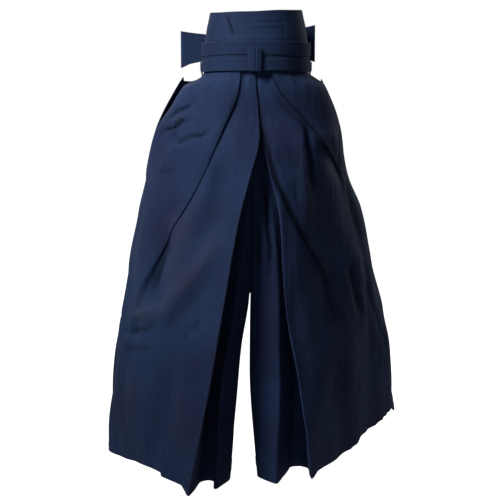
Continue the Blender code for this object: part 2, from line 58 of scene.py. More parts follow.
MM = 0.001
BODY = "root"

# Cloth
WALL = 1.1
BAND_WALL = 1.6
SASH_WALL = 2.0
BOW_WALL = 1.8
LAYER = 2.2
SEAM_GAP = 0.1

# Heights of the fold tables, from the waist down
LEVELS = (10.0, -60.0, -160.0, -250.0, -330.0, -500.0, -690.0, -920.0)
WIDTH_LEVELS = (10.0, -330.0, -500.0, -920.0)
FREE_FROM = 2
BLEND_FROM = -105.0
BLEND_TO = -200.0
BEND_SHARE = 0.12
TOP = 6.0
SLIT_FOOT = -170.0
HEM = -920.0

# Mesh spacing
COLUMN_STEP = 5.6
ROW_STEP = 5.2
SOFT_BEND = 20.0

# Reach of the wear and painted highlight on a pressed edge, and of the painted shade in its crease
EDGE_WEAR_AND_HIGHLIGHT = 1.6
CREASE_SHADE = 5.4

# Hem: fold height, extra thickness of the turned-in cloth, depth of the line that its stitches pull in
HEM_HEIGHT = 21.0
HEM_EXTRA = 0.9
HEM_PULL = 0.55
HEM_ROWS = (34.0, 29.0, 25.5, 23.5, 22.2, 21.0, 19.8, 18.0, 14.0, 9.0, 4.0, 1.0, 0.0)

# Crotch
GUSSET_RIDGE = -500.0
GUSSET_FOOT = -670.0
INSEAM_TOP = -685.0
GUSSET_RISE = 1.3

# Edges of the sash and its bow: reach of the wear and painted highlight, and the crease depth that takes the
# full painted shade
SASH_EDGE_WEAR_AND_HIGHLIGHT = 1.6
BOW_EDGE_WEAR_AND_HIGHLIGHT = 1.5
SASH_CREASE_DEPTH = 2.2

# Mesh edges that bend more than this stay sharp, in degrees
SHARP_ANGLE = 55

# Camera: sensor width in millimetres, focal length and width of the picture in pixels
SENSOR_WIDTH = 36.0
FOCAL_PIXELS = 1364.0
PICTURE_PIXELS = 502.0

WHITE = (1.0, 1.0, 1.0, 1.0)

Points = np.ndarray


class Leg(Enum):
    """Which of the wearer's legs, as the sign of x."""

    RIGHT = -1
    LEFT = 1


class Hang(Enum):
    """What a panel's upper edge is sewn into."""

    FRONT_TIE = "front tie"
    BACK_BOARD = "back board"


@dataclass(frozen=True)
class Fold:
    """One fold line down a leg panel.

    Attributes:
        name: The fold's name.
        layer: Its cloth layer at the waist, counted inward. A half is a pressed edge between two.
        across: x at LEVELS.
        depth: y at the free levels, or at every level where the panel hangs from the board.
        width: Width of the bend at WIDTH_LEVELS.
        top: Height of the upper end.
        hem: Height of the lower end.
        wear_and_highlight: How pale its edge is made, as wear with a painted highlight, down to
            wear_and_highlight_to.
        wear_and_highlight_to: Height where the wear and painted highlight end.
        shade: How much painted shade darkens its crease, down to shade_to.
        shade_to: Height where the painted shade ends.
    """

    name: str
    layer: float
    across: tuple[float, ...]
    depth: tuple[float, ...]
    width: tuple[float, ...]
    top: float
    hem: float
    wear_and_highlight: float = 0.0
    wear_and_highlight_to: float = -920.0
    shade: float = 0.0
    shade_to: float = -920.0

    @property
    def pressed(self) -> bool:
        """Whether it is a pressed pleat edge rather than a soft bend."""
        return self.layer % 1 == 0.5


@dataclass(frozen=True)
class Oval:
    """Waist oval at one height: half width on each side, front depth and centre y."""

    height: float
    right: float
    left: float
    depth: float
    centre: float


WAIST_OVALS = (
    Oval(10.0, 112.0, 112.0, 96.0, 0.0),
    Oval(-31.0, 113.6, 113.6, 96.8, 0.0),
    Oval(-41.0, 119.0, 126.0, 98.4, 0.0),
    Oval(-60.0, 157.0, 152.0, 103.0, 0.0),
    Oval(-100.0, 183.0, 170.0, 113.0, 6.0),
    Oval(-160.0, 221.0, 188.0, 129.0, 18.0),
    Oval(-260.0, 246.0, 202.0, 145.0, 30.0),
)

# worn marks pale a pleat edge with wear and a painted highlight; shade marks put painted shade into its
# crease
FRONT_RIGHT = (
    Fold("side", 0, (-112, -157, -221, -244, -257, -290, -322, -334),
         (20, 28, 30, 30, 30, 30), (2, 2, 2, 2), 6, -889),
    Fold("side_bend", 0, (-85, -113, -152, -198, -225, -277, -311, -324),
         (-90, -62, -48, -6, 2, 6), (20, 40, 20, 16), 6, -890),
    Fold("pleat_2", 0.5, (-30, -36, -76, -116, -157, -252, -296, -308),
         (-124.4, -119.4, -110.4, -50, -22, -12), (3.0, 2.8, 3, 12), 6, -890, shade=0.12, shade_to=-360),
    Fold("pleat_2_inside", 1.5, (-86, -96, -121, -144, -172, -240, -284, -294),
         (-100, -98, -98, -55, -37, -27), (2.8, 2.8, 3, 12), 6, -890),
    Fold("face_outer", 2, (-62, -70, -85, -105, -130, -198, -228, -232),
         (-117, -124, -125, -108, -112, -113), (12, 16, 50, 60), 6, -886),
    Fold("face_inner", 2, (-35, -36, -30, -50, -78, -130, -160, -188),
         (-127, -140, -146, -152, -172, -176), (12, 20, 50, 40), 6, -896),
    Fold("pleat_1", 2.5, (-6, 0, 7, -13, -34, -66, -99, -147),
         (-129, -147, -162, -188, -212, -232), (2.8, 2.8, 2.8, 3.2), 6, -913, wear_and_highlight=0.65),
    Fold("pleat_1_inside", 3.5, (-58, -62, -58, -62, -76, -91, -102, -115),
         (-116, -122, -122, -118, -114, -112), (2.8, 3, 10, 16), 6, -917),
    Fold("valley", 4, (-46, -48, -46, -50, -58, -72, -83, -95),
         (-112, -115, -112, -106, -104, -109), (6, 6, 10, 14), 6, -917),
    Fold("pleat_0", 4, (-32, -32, -26, -19, -18, -42, -71, -88),
         (-113, -117, -121, -130, -143, -166), (5, 4, 4, 4), 6, -918),
    Fold("inner_bend", 4.6, (-18, -18, -16, -13, -11.8, -20, -42, -60),
         (-110, -112, -112, -103, -98, -106), (3, 3, 6, 12), 6, -917),
    Fold("inseam", 7, (-12.8, -12.8, -11.8, -9.5, -8.8, -14.2, -40, -57),
         (-104, -105, -104, -95, -14, -18), (2, 2, 2, 2), 6, -915),
)

FRONT_LEFT = (
    Fold("side", 0, (112, 150, 189, 202, 228, 272, 312, 332),
         (30, 45, 60, 90, 130, 190), (2, 2, 2, 2), 6, -825),
    Fold("side_bend", 0, (85, 108, 166, 199, 221, 266, 307, 321),
         (-52, 24, 40, 70, 112, 170), (20, 12, 12, 12), 6, -830),
    Fold("pleat_2", 0.5, (20, 43, 131, 191, 210, 253, 297, 308),
         (-95, 4, 22, 52, 94, 152), (2.8, 2.8, 6, 12), 6, -836, shade=1.0, shade_to=-250),
    Fold("pleat_2_inside", 1.5, (76, 95, 142, 182, 200, 245, 289, 296),
         (-72, -6, 9, 36, 78, 134), (2.8, 2.8, 6, 12), 6, -842),
    Fold("face_outer", 2.4, (48, 66, 98, 150, 174, 228, 270, 268),
         (-105, -68, -38, 8, 46, 100), (12, 26, 16, 16), 6, -850),
    Fold("face_inner", 3.2, (24, 34, 58, 98, 128, 199, 248, 244),
         (-119, -112, -90, -28, 14, 60), (12, 20, 16, 16), 6, -857),
    Fold("pleat_1", 4.5, (-9, -4, 17, 39, 77, 169, 225, 221),
         (-122, -137, -126, -62, -14, 20), (2.8, 2.8, 3, 14), 6, -872, shade=1.0, shade_to=-440),
    Fold("pleat_1_inside", 5.5, (44, 50, 62, 74, 95, 157, 208, 204),
         (-103, -114, -104, -68, -36, -10), (2.8, 2.8, 3, 14), 6, -877),
    Fold("strip_bend", 6, (20, 24, 34, 52, 72, 112, 152, 158),
         (-110, -125, -121, -111, -100, -98), (8, 10, 40, 50), 6, -885),
    Fold("pleat_0", 6.5, (-5, -2, 12, 31, 48, 60, 92, 125),
         (-113, -130, -132, -142, -153, -163), (2.8, 2.8, 2.8, 3.2), 6, -897, wear_and_highlight=0.35, wear_and_highlight_to=-225),
    Fold("pleat_0_inside", 7.5, (38, 42, 50, 62, 78, 98, 106, 108),
         (-99, -110, -99, -76, -52, -32), (2.8, 5, 12, 16), 6, -910),
    Fold("valley", 8, (30, 34, 40, 50, 62, 78, 84, 84),
         (-96, -105, -92, -66, -41, -26), (6, 8, 12, 16), 6, -911),
    Fold("inner_edge", 8, (8, 8, 9, 16, 32, 47, 50, 44),
         (-99, -108, -113, -121, -136, -151), (5, 5, 6, 6), 6, -912),
    Fold("inner_bend", 8.6, (-7, -7, -6.5, -5, -4.2, -6.5, -10, 6),
         (-98, -106, -111, -107, -101, -103), (3, 3, 6, 12), 6, -912),
    Fold("inseam", 10.4, (-11.2, -11.2, -10.2, -7.9, -7.2, -11.6, -13, 2),
         (-92, -100, -103, -94, -13, -18), (2, 2, 2, 2), 6, -911),
)

BACK_TOP = -24.9
BACK_RIGHT = (
    Fold("side", 0, (-126, -174, -223, -244, -257, -290, -322, -334),
         (66, 62, 36, 28.5, 30.5, 30.5, 30.5, 30.5), (2, 2, 2, 2), -42, -889),
    Fold("side_bend", 0, (-116, -152, -208, -232, -248, -283, -316, -322),
         (84, 98, 104, 106, 112, 122, 132, 146), (20, 40, 50, 60), -52, -896),
    Fold("back_bend", 0, (-84, -98, -128, -146, -160, -190, -214, -226),
         (98.5, 124, 156, 172, 184, 208, 230, 250), (20, 50, 70, 80), -26, -904),
    Fold("pleat_b", 0.5, (-2.2, -3.5, -9, -19, -31, -60, -88, -112),
         (98.5, 126.5, 165, 183, 197, 226, 252, 274), (2.8, 2.8, 2.8, 4), BACK_TOP, -908),
    Fold("pleat_b_inside", 1.5, (-56, -60, -70, -80, -90, -106, -118, -130),
         (97, 121, 150, 162, 170, 184, 196, 206), (2.8, 3, 8, 14), BACK_TOP, -908),
    Fold("inner_bend", 2.5, (-7, -7, -9, -12, -15, -30, -56, -72),
         (95, 120, 150, 162, 168, 176, 186, 196), (6, 8, 20, 24), BACK_TOP, -908),
    Fold("inseam", 4, (-0.7, -0.7, -1.4, -2.4, -3.9, -11.2, -40, -57),
         (89, 113, 142, 153, 158, 160, -13.5, -17.5), (2, 2, 2, 2), BACK_TOP, -915),
)

BACK_LEFT = (
    Fold("side", 0, (120, 152, 190, 202, 228, 272, 312, 332),
         (62, 58, 46, 45.5, 60.5, 90.5, 130.5, 190.5), (2, 2, 2, 2), -46, -825),
    Fold("side_bend", 0, (112, 140, 182, 200, 222, 266, 306, 330),
         (84, 98, 112, 118, 134, 168, 204, 258), (20, 36, 40, 50), -52, -842),
    Fold("back_bend", 0, (84, 97, 124, 142, 158, 192, 220, 240),
         (98.5, 124, 156, 173, 187, 216, 246, 290), (20, 50, 70, 80), -26, -868),
    Fold("pleat_b", 0.5, (2.2, 3.5, 9, 19, 31, 60, 90, 118),
         (98.5, 126.5, 165, 183, 198, 228, 256, 284), (2.8, 2.8, 2.8, 4), BACK_TOP, -888),
    Fold("pleat_b_inside", 1.5, (56, 60, 70, 80, 90, 104, 112, 120),
         (97, 121, 150, 162, 170, 184, 198, 210), (2.8, 3, 8, 14), BACK_TOP, -892),
    Fold("inner_bend", 2.5, (7, 7, 8, 9, 10, 12, 14, 24),
         (95, 120, 150, 162, 168, 176, 186, 196), (6, 8, 20, 24), BACK_TOP, -900),
    Fold("inseam", 4, (0.7, 0.7, 0.0, -1.0, -2.5, -8.6, -13, 2),
         (89, 113, 142, 153, 158, 160, -12.5, -17.5), (2, 2, 2, 2), BACK_TOP, -911),
)


def smooth_through(knots: Sequence[float], values: Sequence[float], z: Points) -> Points:
    """Reads a cubic that never overshoots its knots.

    Args:
        knots: Heights, falling.
        values: The value at each knot.
        z: Heights to read at.

    Returns:
        The value at each height.
    """
    rising = np.asarray(knots, float)[::-1]
    found = np.asarray(values, float)[::-1]
    z = np.clip(np.asarray(z, float), rising[0], rising[-1])
    steps = np.diff(rising)
    secants = np.diff(found) / steps
    slopes = np.empty(len(rising))
    slopes[0] = secants[0]
    slopes[-1] = secants[-1]
    product = secants[:-1] * secants[1:]
    total = steps[:-1] + steps[1:]
    low = (total + steps[:-1]) / np.where(product > 0, secants[1:], 1.0)
    high = (total + steps[1:]) / np.where(product > 0, secants[:-1], 1.0)
    slopes[1:-1] = np.where(product > 0, 3 * total / (low + high), 0.0)
    index = np.clip(np.searchsorted(rising, z, side="right") - 1, 0, len(steps) - 1)
    width = steps[index]
    t = (z - rising[index]) / width
    start = (1 + 2 * t) * (1 - t) ** 2 * found[index] + t * (1 - t) ** 2 * width * slopes[index]
    end = t * t * (3 - 2 * t) * found[index + 1] + t * t * (t - 1) * width * slopes[index + 1]
    return start + end


def linear_through(knots: Sequence[float], values: Sequence[float], z: Points) -> Points:
    """Reads straight lines through knots that fall."""
    return np.interp(z, np.asarray(knots, float)[::-1], np.asarray(values, float)[::-1])


def smooth_step(value: Points) -> Points:
    """Eases from 0 to 1 as the value goes from 0 to 1."""
    t = np.clip(value, 0.0, 1.0)
    return t * t * (3 - 2 * t)


def unit(vector: Points) -> Points:
    """Vectors of length 1 along the last axis."""
    return vector / np.maximum(np.linalg.norm(vector, axis=-1, keepdims=True), 1e-9)


def waist_oval(z: Points, leg: Leg) -> tuple[Points, Points, Points]:
    """Half width, front depth and centre y of the waist oval at heights z."""
    heights = [oval.height for oval in WAIST_OVALS]
    sides = [oval.right if leg is Leg.RIGHT else oval.left for oval in WAIST_OVALS]
    half = smooth_through(heights, sides, z)
    depth = smooth_through(heights, [oval.depth for oval in WAIST_OVALS], z)
    centre = smooth_through(heights, [oval.centre for oval in WAIST_OVALS], z)
    return half, depth, centre


@dataclass(frozen=True)
class Crease:
    """A soft trough or ridge, placed on the cloth as it is seen from one side.

    Attributes:
        azimuth: Side that it is seen from, in degrees: 0 front, 90 the wearer's left, 180 back.
        line: Its points as (across, height), across growing to the right as one faces it.
        rise: Height of the ridge, or less than 0 for a trough.
        width: Half width, where it has fallen to about a third.
        reach: Nearest that the cloth it takes comes to the origin, along its azimuth.
    """

    azimuth: float
    line: tuple[tuple[float, float], ...]
    rise: float
    width: float
    reach: float = -20.0

    def push(self, points: Points) -> Points:
        """Works out how far the crease moves each point.

        Args:
            points: Points of the cloth, as (..., 3).

        Returns:
            The shift of each point away from the middle of the garment.
        """
        angle = math.radians(self.azimuth)
        outward = np.array([math.sin(angle), -math.cos(angle)])
        along = np.array([math.cos(angle), math.sin(angle)])
        across = points[..., :2] @ along
        height = points[..., 2]
        line = np.array(self.line, float)
        lengths = np.linalg.norm(np.diff(line, axis=0), axis=1)
        starts = np.concatenate([[0.0], np.cumsum(lengths)])
        nearest = np.full(across.shape, np.inf)
        place = np.zeros(across.shape)
        for start, end, length, begin in zip(line, line[1:], lengths, starts):
            run = (end - start) / length
            t = np.clip((across - start[0]) * run[0] + (height - start[1]) * run[1], 0, length)
            gap = np.hypot(across - start[0] - run[0] * t, height - start[1] - run[1] * t)
            closer = gap < nearest
            nearest = np.where(closer, gap, nearest)
            place = np.where(closer, begin + t, place)
        share = place / starts[-1]
        taper = smooth_step(share / 0.3) * smooth_step((1 - share) / 0.35)
        profile = np.exp(-((nearest / self.width) ** 2))
        facing = smooth_step((points[..., :2] @ outward - self.reach) / 40.0)
        return self.rise * profile * taper * facing


# Creases of the front as shown, and like ones on the hidden sides
CREASES = (
    Crease(0, ((-60, -330), (-126, -450), (-190, -532), (-262, -566), (-306, -580)), 9.0, 20.0),
    Crease(0, ((-70, -392), (-140, -512), (-196, -574), (-240, -606)), -5.0, 15.0),
    Crease(0, ((-202, -132), (-184, -126), (-172, -113), (-152, -107), (-132, -92)), -7.5, 4.2),
    Crease(0, ((-212, -170), (-196, -154), (-178, -150), (-160, -136), (-134, -128)), -8.0, 4.2),
    Crease(0, ((-190, -178), (-178, -164), (-176, -150)), -5.0, 4.0),
    Crease(0, ((-188, -146), (-160, -130), (-140, -122)), 3.0, 5.0),
    Crease(0, ((-222, -252), (-196, -244), (-166, -240)), -4.0, 5.0),
    Crease(0, ((-178, -136), (-160, -127), (-146, -121)), 4.0, 7.0),
    Crease(0, ((-176, -162), (-168, -174), (-164, -186)), -4.0, 3.4),
    Crease(0, ((-188, -186), (-166, -180), (-141, -166), (-118, -164), (-88, -148)), -6.0, 4.2),
    Crease(0, ((-190, -196), (-170, -188), (-150, -186)), 2.8, 7.0),
    Crease(0, ((-176, -350), (-192, -400), (-216, -462), (-250, -530)), -10.1, 15.0, 0.0),
    Crease(0, ((-150, -300), (-166, -360), (-186, -440), (-204, -520)), 7.0, 22.0, 0.0),
    Crease(0, ((-205, -532), (-246, -552), (-288, -572)), 6.8, 9.0, -10.0),
    Crease(0, ((-206, -560), (-240, -586), (-276, -600), (-306, -606)), -6.4, 6.0, -10.0),
    Crease(0, ((-222, -622), (-262, -636), (-306, -641)), -4.6, 5.4, -10.0),
    Crease(0, ((-236, -606), (-266, -616), (-298, -622)), 3.4, 7.0, -10.0),
    Crease(0, ((-154, -602), (-144, -578), (-134, -552)), -4.0, 4.6, 0.0),
    Crease(0, ((-137, -584), (-127, -562), (-117, -540)), -4.0, 4.2, 0.0),
    Crease(0, ((-124, -596), (-116, -574), (-109, -550)), 2.8, 4.4, 0.0),
    Crease(0, ((-148, -562), (-136, -578), (-124, -592)), 2.5, 4.2, 0.0),
    Crease(0, ((-112, -236), (-136, -330), (-166, -440), (-184, -560)), 4.3, 20.0, 0.0),
    Crease(0, ((-66, -190), (-94, -300), (-120, -400)), -3.1, 16.0, 0.0),
    Crease(0, ((-188, -620), (-205, -720), (-222, -860)), -2.6, 28.0, 0.0),
    Crease(0, ((-150, -660), (-166, -760), (-176, -880)), 4.0, 18.0, 0.0),
    Crease(0, ((-246, -650), (-270, -740), (-288, -880)), 4.7, 22.0, -30.0),
    Crease(0, ((92, -146), (99, -190), (103, -255), (108, -330), (116, -372)), 5.0, 12.0, -60.0),
    Crease(0, ((102, -124), (111, -156), (117, -215), (121, -300)), -7.4, 7.5, -80.0),
    Crease(0, ((14, -150), (40, -243), (78, -326), (106, -376), (132, -430)), -6.6, 8.0, 20.0),
    Crease(0, ((-28, -40), (-42, -100), (-76, -165), (-114, -245), (-156, -325)), -3.2, 9.0, 20.0),
    Crease(0, ((34, -64), (56, -96), (92, -127), (124, -154), (150, -200)), -3.6, 7.0, 0.0),
    Crease(0, ((146, -168), (172, -212), (196, -276)), -5.3, 12.0, -90.0),
    Crease(0, ((213, -430), (210, -468), (220, -498), (232, -540), (242, -590)), -8.4, 9.0, -110.0),
    Crease(0, ((228, -420), (232, -466), (246, -520)), 5.3, 10.0, -110.0),
    Crease(0, ((8, -226), (22, -284), (26, -360), (33, -414), (26, -476)), -8.0, 6.0, 40.0),
    Crease(0, ((-4, -300), (4, -380), (8, -470)), -4.0, 6.0, 40.0),
    Crease(0, ((44, -250), (52, -330), (58, -430)), 3.1, 9.0, 20.0),
    Crease(0, ((150, -420), (166, -520), (190, -640)), -4.7, 20.0, -120.0),
    Crease(0, ((196, -560), (222, -680), (250, -800)), 5.3, 24.0, -190.0),
    Crease(0, ((176, -640), (196, -740), (206, -850)), -4.0, 20.0, -190.0),
    Crease(0, ((94, -470), (112, -600), (128, -740)), 3.4, 16.0, 0.0),
    Crease(60, ((96, -150), (84, -190), (88, -240)), -4.7, 9.0, 20.0),
    Crease(90, ((20, -230), (34, -330), (52, -440)), -7.8, 16.0, 60.0),
    Crease(90, ((80, -260), (96, -380), (126, -520)), 7.1, 20.0, 60.0),
    Crease(90, ((150, -560), (170, -690), (196, -820)), -6.2, 20.0, 80.0),
    Crease(100, ((96, -170), (70, -180), (50, -196)), -4.0, 6.5, 60.0),
    Crease(90, ((60, -480), (40, -600), (36, -700)), -5.3, 18.0, 60.0),
    Crease(-90, ((-20, -240), (-36, -350), (-62, -470)), -7.4, 16.0, 60.0),
    Crease(-90, ((-78, -250), (-92, -400), (-116, -560)), 6.8, 21.0, 60.0),
    Crease(-90, ((20, -330), (30, -450), (52, -600)), 5.6, 18.0, 60.0),
    Crease(-90, ((-40, -600), (-56, -720), (-80, -870)), -6.5, 20.0, 80.0),
    Crease(-100, ((-92, -150), (-66, -166), (-44, -172)), -4.7, 6.5, 60.0),
    Crease(-95, ((-60, -560), (-20, -574), (10, -596)), -5.6, 8.0, 80.0),
    Crease(180, ((-122, -96), (-104, -150), (-92, -230)), -5.0, 12.0, 40.0),
    Crease(180, ((116, -92), (104, -140), (90, -200)), -4.3, 11.0, 40.0),
    Crease(180, ((-60, -60), (-52, -100), (-50, -150)), -3.1, 8.0, 40.0),
    Crease(180, ((66, -58), (58, -110), (60, -170)), -3.4, 9.0, 40.0),
    Crease(180, ((-140, -300), (-158, -420), (-182, -560)), 6.8, 22.0, 40.0),
    Crease(180, ((132, -280), (146, -390), (172, -500)), 6.2, 20.0, 40.0),
    Crease(180, ((-90, -420), (-112, -560), (-142, -720)), -7.4, 20.0, 60.0),
    Crease(180, ((84, -380), (106, -540), (140, -690)), -7.1, 21.0, 60.0),
    Crease(180, ((-186, -600), (-206, -720), (-226, -850)), -5.9, 20.0, 60.0),
    Crease(180, ((180, -580), (206, -700), (232, -860)), -5.6, 19.0, 60.0),
    Crease(180, ((-150, -520), (-118, -536), (-84, -560)), -4.7, 7.5, 60.0),
    Crease(180, ((150, -606), (118, -620), (90, -650)), -4.3, 7.5, 60.0),
    Crease(180, ((-74, -660), (-88, -760), (-96, -860)), 4.7, 15.0, 60.0),
    Crease(180, ((70, -640), (84, -740), (92, -850)), 5.0, 15.0, 60.0),
)


@dataclass(frozen=True)
class Puckers:
    """Short uneven puckers where the ties squeeze the cloth, all round the waist."""

    count: int = 46
    top: float = -30.0
    longest: float = 62.0
    rise: float = 1.5
    seed: int = 5

    def creases(self) -> list[Crease]:
        """Makes the puckers as creases, some troughs and some ridges."""
        chance = np.random.default_rng(self.seed)
        found = []
        for number in range(self.count):
            azimuth = 360.0 * (number + chance.uniform(-0.35, 0.35)) / self.count
            length = self.longest * chance.uniform(0.35, 1.0)
            lean = chance.uniform(-0.16, 0.16) * length
            rise = self.rise * chance.uniform(0.35, 1.0) * (1 if number % 2 else -1)
            line = ((0.0, self.top), (lean, self.top - length))
            found.append(Crease(azimuth, line, rise, chance.uniform(3.5, 6.0), 20.0))
        return found


@dataclass(frozen=True)
class Drape:
    """Moves every layer of the cloth alike, so that layers that lie on each other stay apart.

    Attributes:
        creases: The listed creases.
        waves: Number of long soft waves.
        swell: Height of the waves at the hem.
        centre: y of the line that the waves push away from.
        deep: Depth of a crease that takes the full painted shade.
        seed: Seed of the waves.
    """

    creases: tuple[Crease, ...]
    waves: int = 26
    swell: float = 3.4
    centre: float = 40.0
    deep: float = 11.0
    seed: int = 11

    def ripple(self, points: Points) -> Points:
        """Height of long soft waves that grow towards the hem."""
        chance = np.random.default_rng(self.seed)
        total = np.zeros(points.shape[:-1])
        for number in range(self.waves):
            length = chance.uniform(55.0, 190.0)
            turn = chance.uniform(0, 2 * math.pi)
            pitch = chance.uniform(0.12, 0.42)
            wave = np.array([math.cos(turn), math.sin(turn), pitch * chance.choice([-1, 1])])
            phase = chance.uniform(0, 2 * math.pi)
            total += (length / 190.0) ** 0.7 * np.sin(points @ wave * 2 * math.pi / length + phase)
        total /= math.sqrt(self.waves / 2)
        return self.swell * smooth_step((-60.0 - points[..., 2]) / 500.0) * total

    def creased(self, points: Points) -> Points:
        """Height of the creases alone."""
        amount = np.zeros(points.shape[:-1])
        for crease in self.creases:
            amount += crease.push(points)
        return amount

    def laid(self, points: Points) -> Points:
        """Points of the cloth with its creases and waves.

        Args:
            points: Points of the smooth cloth.

        Returns:
            The moved points.
        """
        amount = self.ripple(points) + self.creased(points)
        out = points[..., :2] - np.array([0.0, self.centre])
        near = np.linalg.norm(out, axis=-1)
        amount *= smooth_step(near / 70.0) / np.maximum(near, 1.0)
        moved = points.copy()
        moved[..., :2] += amount[..., None] * out
        return moved


@dataclass
class Shell:
    """A thin closed cloth wall on a grid of middle points.

    Attributes:
        grid: Middle points, as (row, column, 3).
        wall: Thickness, one number or one for each point.
        outer_push: Extra height of the outer face at each point.
        inner_push: Extra height of the inner face at each point.
        closed_columns: Whether the last column joins the first.
        normal: Normals, where they aren't the grid's own.
        edge: Wear and painted highlight of an edge at each point, from 0 to 1.
        cavity: Depth in a crease at each point, from -1 in a trough to 1 on a ridge, which sets painted shade
            in troughs and a painted highlight on ridges.
        chart: Distances along the cloth in metres, as (row, column, 2).
    """

    grid: Points
    wall: float | Points
    outer_push: float | Points = 0.0
    inner_push: float | Points = 0.0
    closed_columns: bool = False
    normal: Points | None = None
    edge: Points | None = None
    cavity: Points | None = None
    chart: Points | None = None

    def normals(self) -> Points:
        """Normals of the grid."""
        if self.normal is not None:
            return self.normal
        if self.closed_columns:
            across = np.roll(self.grid, -1, axis=1) - np.roll(self.grid, 1, axis=1)
        else:
            across = np.gradient(self.grid, axis=1)
        down = np.gradient(self.grid, axis=0)
        return unit(np.cross(across, down))

    def measured(self) -> Points:
        """Distances along the cloth in metres, across and up, for weave and stitches."""
        if self.chart is not None:
            return self.chart
        across = np.linalg.norm(np.diff(self.grid, axis=1), axis=-1)
        across = np.concatenate([np.zeros((len(self.grid), 1)), np.cumsum(across, axis=1)], axis=1)
        across = np.broadcast_to(across.mean(axis=0), across.shape)
        down = np.linalg.norm(np.diff(self.grid, axis=0), axis=-1)
        up = np.concatenate([np.cumsum(down[::-1], axis=0)[::-1], np.zeros((1, down.shape[1]))])
        return np.stack([across, up], axis=-1) * MM

    def quads(self, rows: int, columns: int) -> Points:
        """Faces of both sides and of the rims.

        Args:
            rows: Rows of the grid.
            columns: Columns of the grid.

        Returns:
            Four point numbers for each face.
        """
        count = rows * columns
        number = np.arange(count).reshape(rows, columns)
        right = np.roll(number, -1, axis=1)
        a, b = number[:-1], right[:-1]
        c, d = right[1:], number[1:]
        if not self.closed_columns:
            a, b, c, d = a[:, :-1], b[:, :-1], c[:, :-1], d[:, :-1]
        outer = np.stack([a, b, c, d], axis=-1).reshape(-1, 4)
        faces = [outer, outer[:, ::-1] + count]
        last = columns if self.closed_columns else columns - 1
        for row, flip in ((0, False), (rows - 1, True)):
            p, q = number[row, :last], right[row, :last]
            rim = np.stack([p + count, q + count, q, p], axis=-1)
            faces.append(rim[:, ::-1] if flip else rim)
        if not self.closed_columns:
            for column, flip in ((0, False), (columns - 1, True)):
                p, q = number[:-1, column], number[1:, column]
                rim = np.stack([p, q, q + count, p + count], axis=-1)
                faces.append(rim[:, ::-1] if flip else rim)
        return np.concatenate(faces)

    def build(self, name: str) -> bpy.types.Object:
        """Makes the mesh object.

        Args:
            name: Name of the piece.

        Returns:
            The new object, in metres, with its chart and its two marks.
        """
        rows, columns = self.grid.shape[:2]
        normal = self.normals()
        half = np.broadcast_to(np.asarray(self.wall, float) / 2, (rows, columns))
        outer = self.grid + normal * (half + self.outer_push)[..., None]
        inner = self.grid - normal * (half + self.inner_push)[..., None]
        points = np.concatenate([outer.reshape(-1, 3), inner.reshape(-1, 3)]) * MM
        chart = np.tile(self.measured().reshape(-1, 2), (2, 1))
        marks = {}
        # The pressed mark pales edges with wear and a painted highlight; the cavity mark gives painted shade
        # in troughs and a painted highlight on ridges
        for key, value in (("pressed", self.edge), ("cavity", self.cavity)):
            value = np.zeros((rows, columns)) if value is None else value
            marks[key] = np.tile(value.reshape(-1), 2)
        return make_object(name, points, self.quads(rows, columns), chart, marks)


def make_object(
    name: str, points: Points, quads: Points, chart: Points, marks: dict[str, Points]
) -> bpy.types.Object:
    """Makes a smooth mesh object from arrays.

    Args:
        name: Name of the object.
        points: Points in metres.
        quads: Four point numbers for each face.
        chart: Two cloth distances for each point, in metres.
        marks: One number for each point, by attribute name.

    Returns:
        The object, linked to the scene.
    """
    mesh = bpy.data.meshes.new(name)
    mesh.vertices.add(len(points))
    mesh.vertices.foreach_set("co", points.astype(np.float32).ravel())
    mesh.loops.add(quads.size)
    mesh.loops.foreach_set("vertex_index", quads.astype(np.int32).ravel())
    mesh.polygons.add(len(quads))
    mesh.polygons.foreach_set("loop_start", np.arange(0, quads.size, 4, dtype=np.int32))
    mesh.polygons.foreach_set("use_smooth", np.ones(len(quads), bool))
    mesh.update(calc_edges=True)
    layer = mesh.uv_layers.new(name="cloth")
    layer.data.foreach_set("uv", chart[quads.ravel()].astype(np.float32).ravel())
    for key, values in marks.items():
        attribute = mesh.attributes.new(key, "FLOAT", "POINT")
        attribute.data.foreach_set("value", values.astype(np.float32))
    mesh.set_sharp_from_angle(angle=math.radians(SHARP_ANGLE))
    made = bpy.data.objects.new(name, mesh)
    bpy.context.scene.collection.objects.link(made)
    return made


def square_edges(normal: Points, grid: Points, columns: Sequence[int]) -> None:
    """Turns the normals of edge columns square to y, so that two pieces face each other there.

    Args:
        normal: Normals, changed in place.
        grid: Points that they belong to.
        columns: The columns to turn.
    """
    along_y = np.array([0.0, 1.0, 0.0])
    for column in columns:
        square = unit(np.cross(np.gradient(grid[:, column], axis=0), along_y))
        sign = np.sign((square * normal[:, column]).sum(axis=-1, keepdims=True))
        normal[:, column] = square * np.where(sign == 0, 1, sign)


